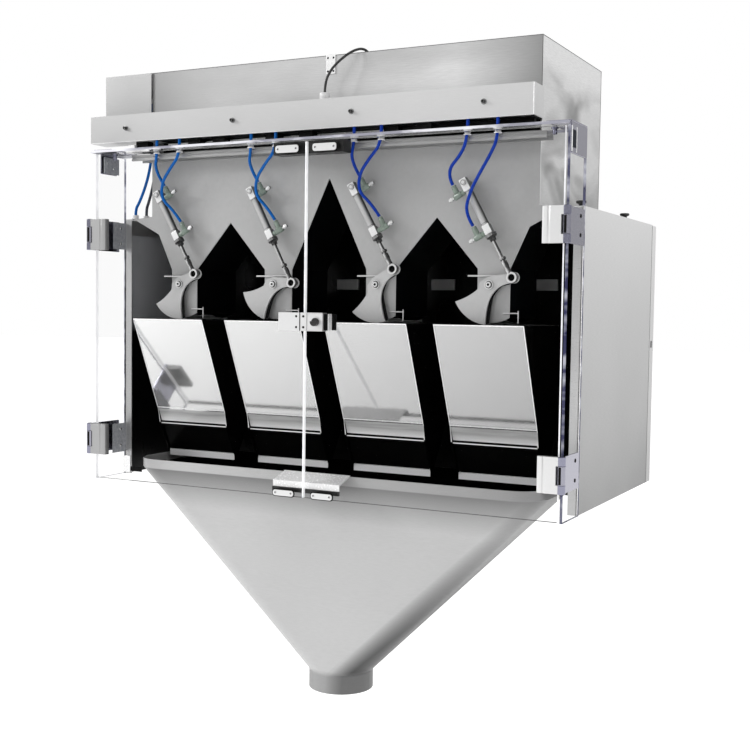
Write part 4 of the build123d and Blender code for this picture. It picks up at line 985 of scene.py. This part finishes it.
# ================= duct screws, seals and small fittings =================
duct_x = [sum(DUCT_X) / 2 + (k - 1.5) * 0.27 * (DUCT_X[1] - DUCT_X[0]) for k in range(4)]
studs, bores = fresh(2)
for x in duct_x:
    place = at(x, DUCT_Y0, sum(DUCT_Z) / 2, "-y")
    add_lathe(studs, [(5.2, 0), (5.2, 0.8), (3.4, 1.0), (3.4, 6.2), (3.0, 6.8), (1.9, 6.8)], place, 24)
    # painted shade: a black disc in each screw's bore
    add_lathe(bores, [(0, 6.4), (2.0, 6.4), (2.0, 6.85), (2.5, 6.85)], place, 20)
piece_from("duct_screws", studs, m_screw_lit, "frame", replaces=("top_trim",))
piece_from("duct_screw_bores", bores, m_black_and_shade, "frame")
caps = bmesh.new()
for ky in COVER_KNOBS.values():
    add_lathe(caps, pan_head(5.0, 2.5), at(-KNOB_X, ky, CAB_H + SKIN), 20)
piece_from("cover_screws", caps, m_screw, "frame", replaces=("top_trim",))
plate = boxes((-9.0, 11.0, BOX_Y0 - 2.0, BOX_Y0, BOX_Z1 - 35.0, BOX_Z1 + 2.0))
plate_dots = bmesh.new()
for x in (-5.0, 7.0):
    for z in (-30.0, -5.0):
        add_lathe(plate_dots, [(0, 0.7), (1.6, 0.6), (2.0, 0.0)], at(x, BOX_Y0 - 2.0, BOX_Z1 + z, "-y"), 14)
piece_from("cable_plate", plate, m_highlight_edge, "frame", bevel=0.5, smooth=False, replaces=("top_trim",))
piece_from("cable_plate_screws", plate_dots, m_black_and_shade, "frame")

# a pale collar round each hose that passes the top sheet
duct_low, glass_top = DUCT_Z[0], GLASS_Z[1]
grommet = bmesh.new()
for name, route in routes.items():
    if name.startswith("hose_side") or name == "cable":
        continue
    x, y, _ = route[0]
    add_lathe(grommet, [(3.5, 0.4), (7.6, 0.4), (8.0, 1.2), (8.0, 4.6), (7.0, 5.6), (4.2, 6.0), (3.5, 5.6)],
              at(x, y, glass_top + 1.5), 26)
piece_from("grommet_collars", grommet, m_white, "frame")

# top sheet bolts, corner tabs, wall leaves
bolts, tab_dots = fresh(2)
for x in (-TOP_BOLT_X, TOP_BOLT_X):
    add_lathe(bolts, [(0, 4.6), (3.0, 4.6), (5.0, 3.6), (5.0, 1.0), (7.0, 0.9), (7.0, 0.1)],
              at(x, TOP_BOLT_Y, glass_top), 24)
    add_lathe(bolts, [(6.0, -0.3), (6.0, -3.0), (4.0, -3.2), (4.0, -12.0), (0, -13.0)],
              at(x, TOP_BOLT_Y, GLASS_Z[0]), 24)
piece_from("top_bolts", bolts, m_knuckle, "frame")
tabs = boxes((-497.0, -494.6, -71.0, -25.0, 627.0, 660.0), (-497.0, -494.6, -42.0, -1.0, 474.0, 529.0),
             (-497.0, -494.6, -44.0, -1.0, 47.0, 108.0))
piece_from("inner_leaves", tabs, m_leaf_dark, "frame", bevel=0.8, smooth=False)
for y, z in ((-42.0, 639.0), (-62.0, 649.0), (-20.0, 518.0), (-20.0, 486.0), (-20.0, 96.0), (-20.0, 62.0)):
    add_lathe(tab_dots, [(0, 1.4), (2.2, 1.3), (3.2, 0.5), (3.2, 0)], at(-494.6, y, z, "x"), 18)
piece_from("inner_leaf_screws", tab_dots, m_screw, "frame")
leaf_heads = [at(506.0, -37.0, z, "x") for z in (517.7, 485.5, 102.0, 67.7)]
screws("leaf_screws", leaf_heads, 3.6, 1.0, "frame", material=m_black_and_shade)
# corner brackets: an upright leaf outside the side sheet and a level one on the top sheet
for tag, leaves in (
        ("right", ((502.1, 505.0, -92.5, -7.5, 617.0, 669.0), (460.0, 505.0, -92.5, -8.5, 669.1, 672.0))),
        ("left", ((-505.0, -502.1, -72.0, -24.0, 626.0, 669.0),
                  (-505.0, -460.0, -92.5, -8.5, 669.1, 672.0)))):
    piece_from(f"corner_bracket_{tag}", boxes(*leaves), m_violet, "frame", bevel=0.8, smooth=False,
               replaces=("corner_brackets",))

def gate_inner_edge(steps=8):
    """Smooth curve through the inner edge of a gate cheek, arm along +X."""
    pts = [(64.0, -9.8), (45.0, -9.4), (19.0, -8.5), (2.4, -17.3), (-8.7, -29.5),
           (GATE_R * math.cos(GATE_FAN), GATE_R * math.sin(GATE_FAN)), (-38.0, -98.0)]
    out = []
    for a, b, c, d in zip(pts, pts[1:], pts[2:], pts[3:]):
        for k in range(steps):
            u = k / steps
            out.append(tuple(0.5 * (2 * q + (r - p) * u + (2 * p - 5 * q + 4 * r - s) * u * u
                                    + (3 * q - p - 3 * r + s) * u ** 3)
                             for p, q, r, s in zip(a, b, c, d)))
    return out + [pts[-2]]


# painted shadow: a black band behind the inner edge of each gate cheek
for i, c in enumerate(CENTRES):
    gap = bmesh.new()
    a = math.radians(REST[i])
    arc = gate_inner_edge()
    outer = [(x + 7.0, y + 0.8) for x, y in arc]
    turned = [(x * math.cos(a) - y * math.sin(a), x * math.sin(a) + y * math.cos(a))
              for x, y in arc + outer[::-1]]
    # the frame's local Y points up and its local Z to the front
    add_prism(gap, turned, -GATE_Y0 - PLATE_T - 0.6, -GATE_Y0 - PLATE_T - 0.1,
              Matrix.Translation(P(c + PIVOT_DX, 0.0, PIVOT_Z)) @ Matrix.Rotation(math.radians(90), 4, "X"))
    piece_from(f"gate_{i + 1}_shade", gap, m_black_and_shade, f"gate_{i + 1}", smooth=False)

# cover knob caps: wider tops on narrow stems
for tag, ky in COVER_KNOBS.items():
    knob = bmesh.new()
    z0 = CAB_H + SKIN + PLAY
    add_lathe(knob, [(3.2, 0.1), (4.4, 0.4), (4.6, 3.6), (8.6, 5.4), (9.0, 6.0), (9.0, 8.8), (8.0, 9.6),
                     (0, 9.9)], at(KNOB_X, ky, z0), 30)
    piece_from(f"cover_knob_{tag}_top", knob, m_black, f"knob_{tag}",
               replaces=(f"cover_knob_{tag}",))

# ================= plain folded and cut pieces on the frame =================
# name, material, slot, bevel in millimetres, boxes
PLAIN = (
    # under the duct: a black strip and black blocks, thin strips painted as highlights
    ("duct_black_strip", m_black_and_shade, "black_rubber", 0.0, (
        (-392.0, 420.0, BOX_Y0 - 1.2, BOX_Y0 - 0.2, 671.0, duct_low),
        (-372.0, 424.0, DUCT_Y0 + 6.0, BOX_Y0 - 1.2, duct_low - 1.6, duct_low - 0.1))),
    ("duct_black_blocks", m_black_and_shade, "black_plastic", 0.4, (
        *((x - 15.0, x + 15.0, -48.0, -30.0, duct_low - 13.0, duct_low - 0.2)
          for x in (-417.0, -287.0, -228.0, -105.0, -30.0, 150.0, 215.0)),
        (150.0, 418.0, -34.0, -22.0, duct_low - 12.0, duct_low - 0.2))),
    ("duct_pale_lines", m_highlight_edge, "aluminium", 0.3, (
        (-392.0, 424.0, BOX_Y0 - 4.5, BOX_Y0 - 2.5, 676.0, 679.0),
        (-372.0, 250.0, BOX_Y0 - 12.0, BOX_Y0 - 8.0, 684.0, 687.0),
        (-470.0, -400.0, -46.0, -18.0, glass_top + 0.2, glass_top + 5.0),
        (-446.0, -430.0, -56.0, -38.0, glass_top + 5.2, glass_top + 14.0))),
    # header rail: a bright lip at its foot and a bead near its top, both painted highlights
    ("rail_lip", m_rail, "aluminium", 0.3, ((-445.0, 445.0, -46.0, -44.9, 652.2, 655.8),)),
    ("rail_bead", m_lit_rail, "aluminium", 0.2, ((-445.0, 445.0, -45.6, -44.9, 659.8, 663.8),)),
    # slot in the right corner bracket, its edges painted as highlights
    ("bracket_slot", m_navy, "chrome", 0.0, ((504.9, 505.5, -90.0, -70.5, 627.0, 656.0),)),
    ("bracket_slot_edges", m_highlight_edge, "chrome", 0.3, (
        (504.9, 506.2, -69.0, -66.5, 620.0, 662.0), (504.9, 506.2, -93.0, -91.2, 620.0, 662.0))),
    # folded edges of the feeder box, duct and covers: dark lines of painted shade and pale lines of painted
    # highlight
    ("folded_edges_dark", m_edge_dark, "satin_steel", 0.0, (
        (421.4, 422.4, BOX_Y0 - 0.4, BOX_Y0 + 0.6, 656.0, BOX_Z1),
        (-BOX_HALF, BOX_HALF, BOX_Y0 - 0.4, BOX_Y0 + 0.6, BOX_Z1 - 0.6, BOX_Z1 + 0.4),
        (421.4, 422.4, BOX_Y0, BOX_Y0 + 350.0, BOX_Z1 - 0.6, BOX_Z1 + 0.4),
        (421.4, 422.4, BOX_Y0 + 349.2, BOX_Y0 + 350.2, CAB_H + 2.0, BOX_Z1),
        (499.8, 500.3, 470.6, 472.2, 0.0, CAB_H))),
    ("folded_edges_pale", m_highlight_edge, "satin_steel", 0.3, (
        (DUCT_X[1] - 1.4, DUCT_X[1] + 0.3, DUCT_Y0 - 0.3, DUCT_Y0 + 1.2, *DUCT_Z),
        (*DUCT_X, DUCT_Y0 - 0.3, DUCT_Y0 + 0.8, duct_low, duct_low + 1.0),
        (498.6, 500.3, -0.3, 0.8, 0.0, CAB_H + SKIN))),
    # foot of the left front post and the dark block beside it
    ("post_foot", m_highlight_edge, "satin_steel", 0.4, ((-503.0, -484.0, -1.6, -0.2, 2.0, 37.0),)),
    ("post_foot_block", m_black_and_shade, "black_plastic", 0.4, ((-483.5, -453.0, -1.6, -0.2, 5.0, 15.0),)))
for name, material, finish, bevel, spans in PLAIN:
    piece_from(name, boxes(*spans), material, "frame", bevel=bevel, smooth=False)


# ================= studio =================
def area(name, place, target, size, power):
    data = bpy.data.lights.new(name, "AREA")
    data.shape = "RECTANGLE"
    data.size, data.size_y = size
    data.energy = power
    o = bpy.data.objects.new(name, data)
    o.location = place
    o.rotation_mode = "QUATERNION"
    o.rotation_quaternion = (Vector(target) - Vector(place)).to_track_quat("-Z", "Y")
    scene.collection.objects.link(o)


bm = bmesh.new()
for x, y in ((-1, -1), (1, -1), (1, 1), (-1, 1)):
    bm.verts.new((x * FLOOR_HALF, y * FLOOR_HALF, FLOOR_Z))
bm.faces.new(bm.verts)
floor_mesh = bpy.data.meshes.new("floor")
bm.to_mesh(floor_mesh)
bm.free()
floor = bpy.data.objects.new("floor", floor_mesh)
scene.collection.objects.link(floor)
m_floor = Mat("floor_pale", rough=0.9)
m_floor.colour(m_floor.blend(m_floor.spread(m_floor.noise(3.0)), grey(0.90), grey(0.93)))
m_floor.set("Emission Color", (1, 1, 1, 1))
m_floor.set("Emission Strength", 0.42)
floor_mesh.materials.append(m_floor.m)

world = bpy.data.worlds.new("studio")
scene.world = world
world.use_nodes = True
wt = world.node_tree
background = wt.nodes["Background"]
direction = wt.nodes.new("ShaderNodeTexCoord")
split = wt.nodes.new("ShaderNodeSeparateXYZ")
wt.links.new(direction.outputs["Generated"], split.inputs[0])
ramp = wt.nodes.new("ShaderNodeMapRange")
ramp.inputs["From Min"].default_value = -0.1
ramp.inputs["From Max"].default_value = 0.7
ramp.inputs["To Min"].default_value = 0.48
ramp.inputs["To Max"].default_value = 0.84
wt.links.new(split.outputs["Z"], ramp.inputs["Value"])
seen = wt.nodes.new("ShaderNodeLightPath")
pick = wt.nodes.new("ShaderNodeMix")
wt.links.new(seen.outputs["Is Camera Ray"], pick.inputs[0])
wt.links.new(ramp.outputs["Result"], pick.inputs[2])
pick.inputs[3].default_value = 1.0
wt.links.new(pick.outputs[0], background.inputs["Strength"])
background.inputs["Color"].default_value = (1, 1, 1, 1)
scene.view_settings.view_transform = "Standard"
area("key", (-3.4, -2.1, 2.1), (0, -0.3, 0.35), (1.0, 1.0), 75)
area("side", (2.2, 0.1, 1.8), (0.5, -0.1, 0.4), (1.2, 1.2), 9)
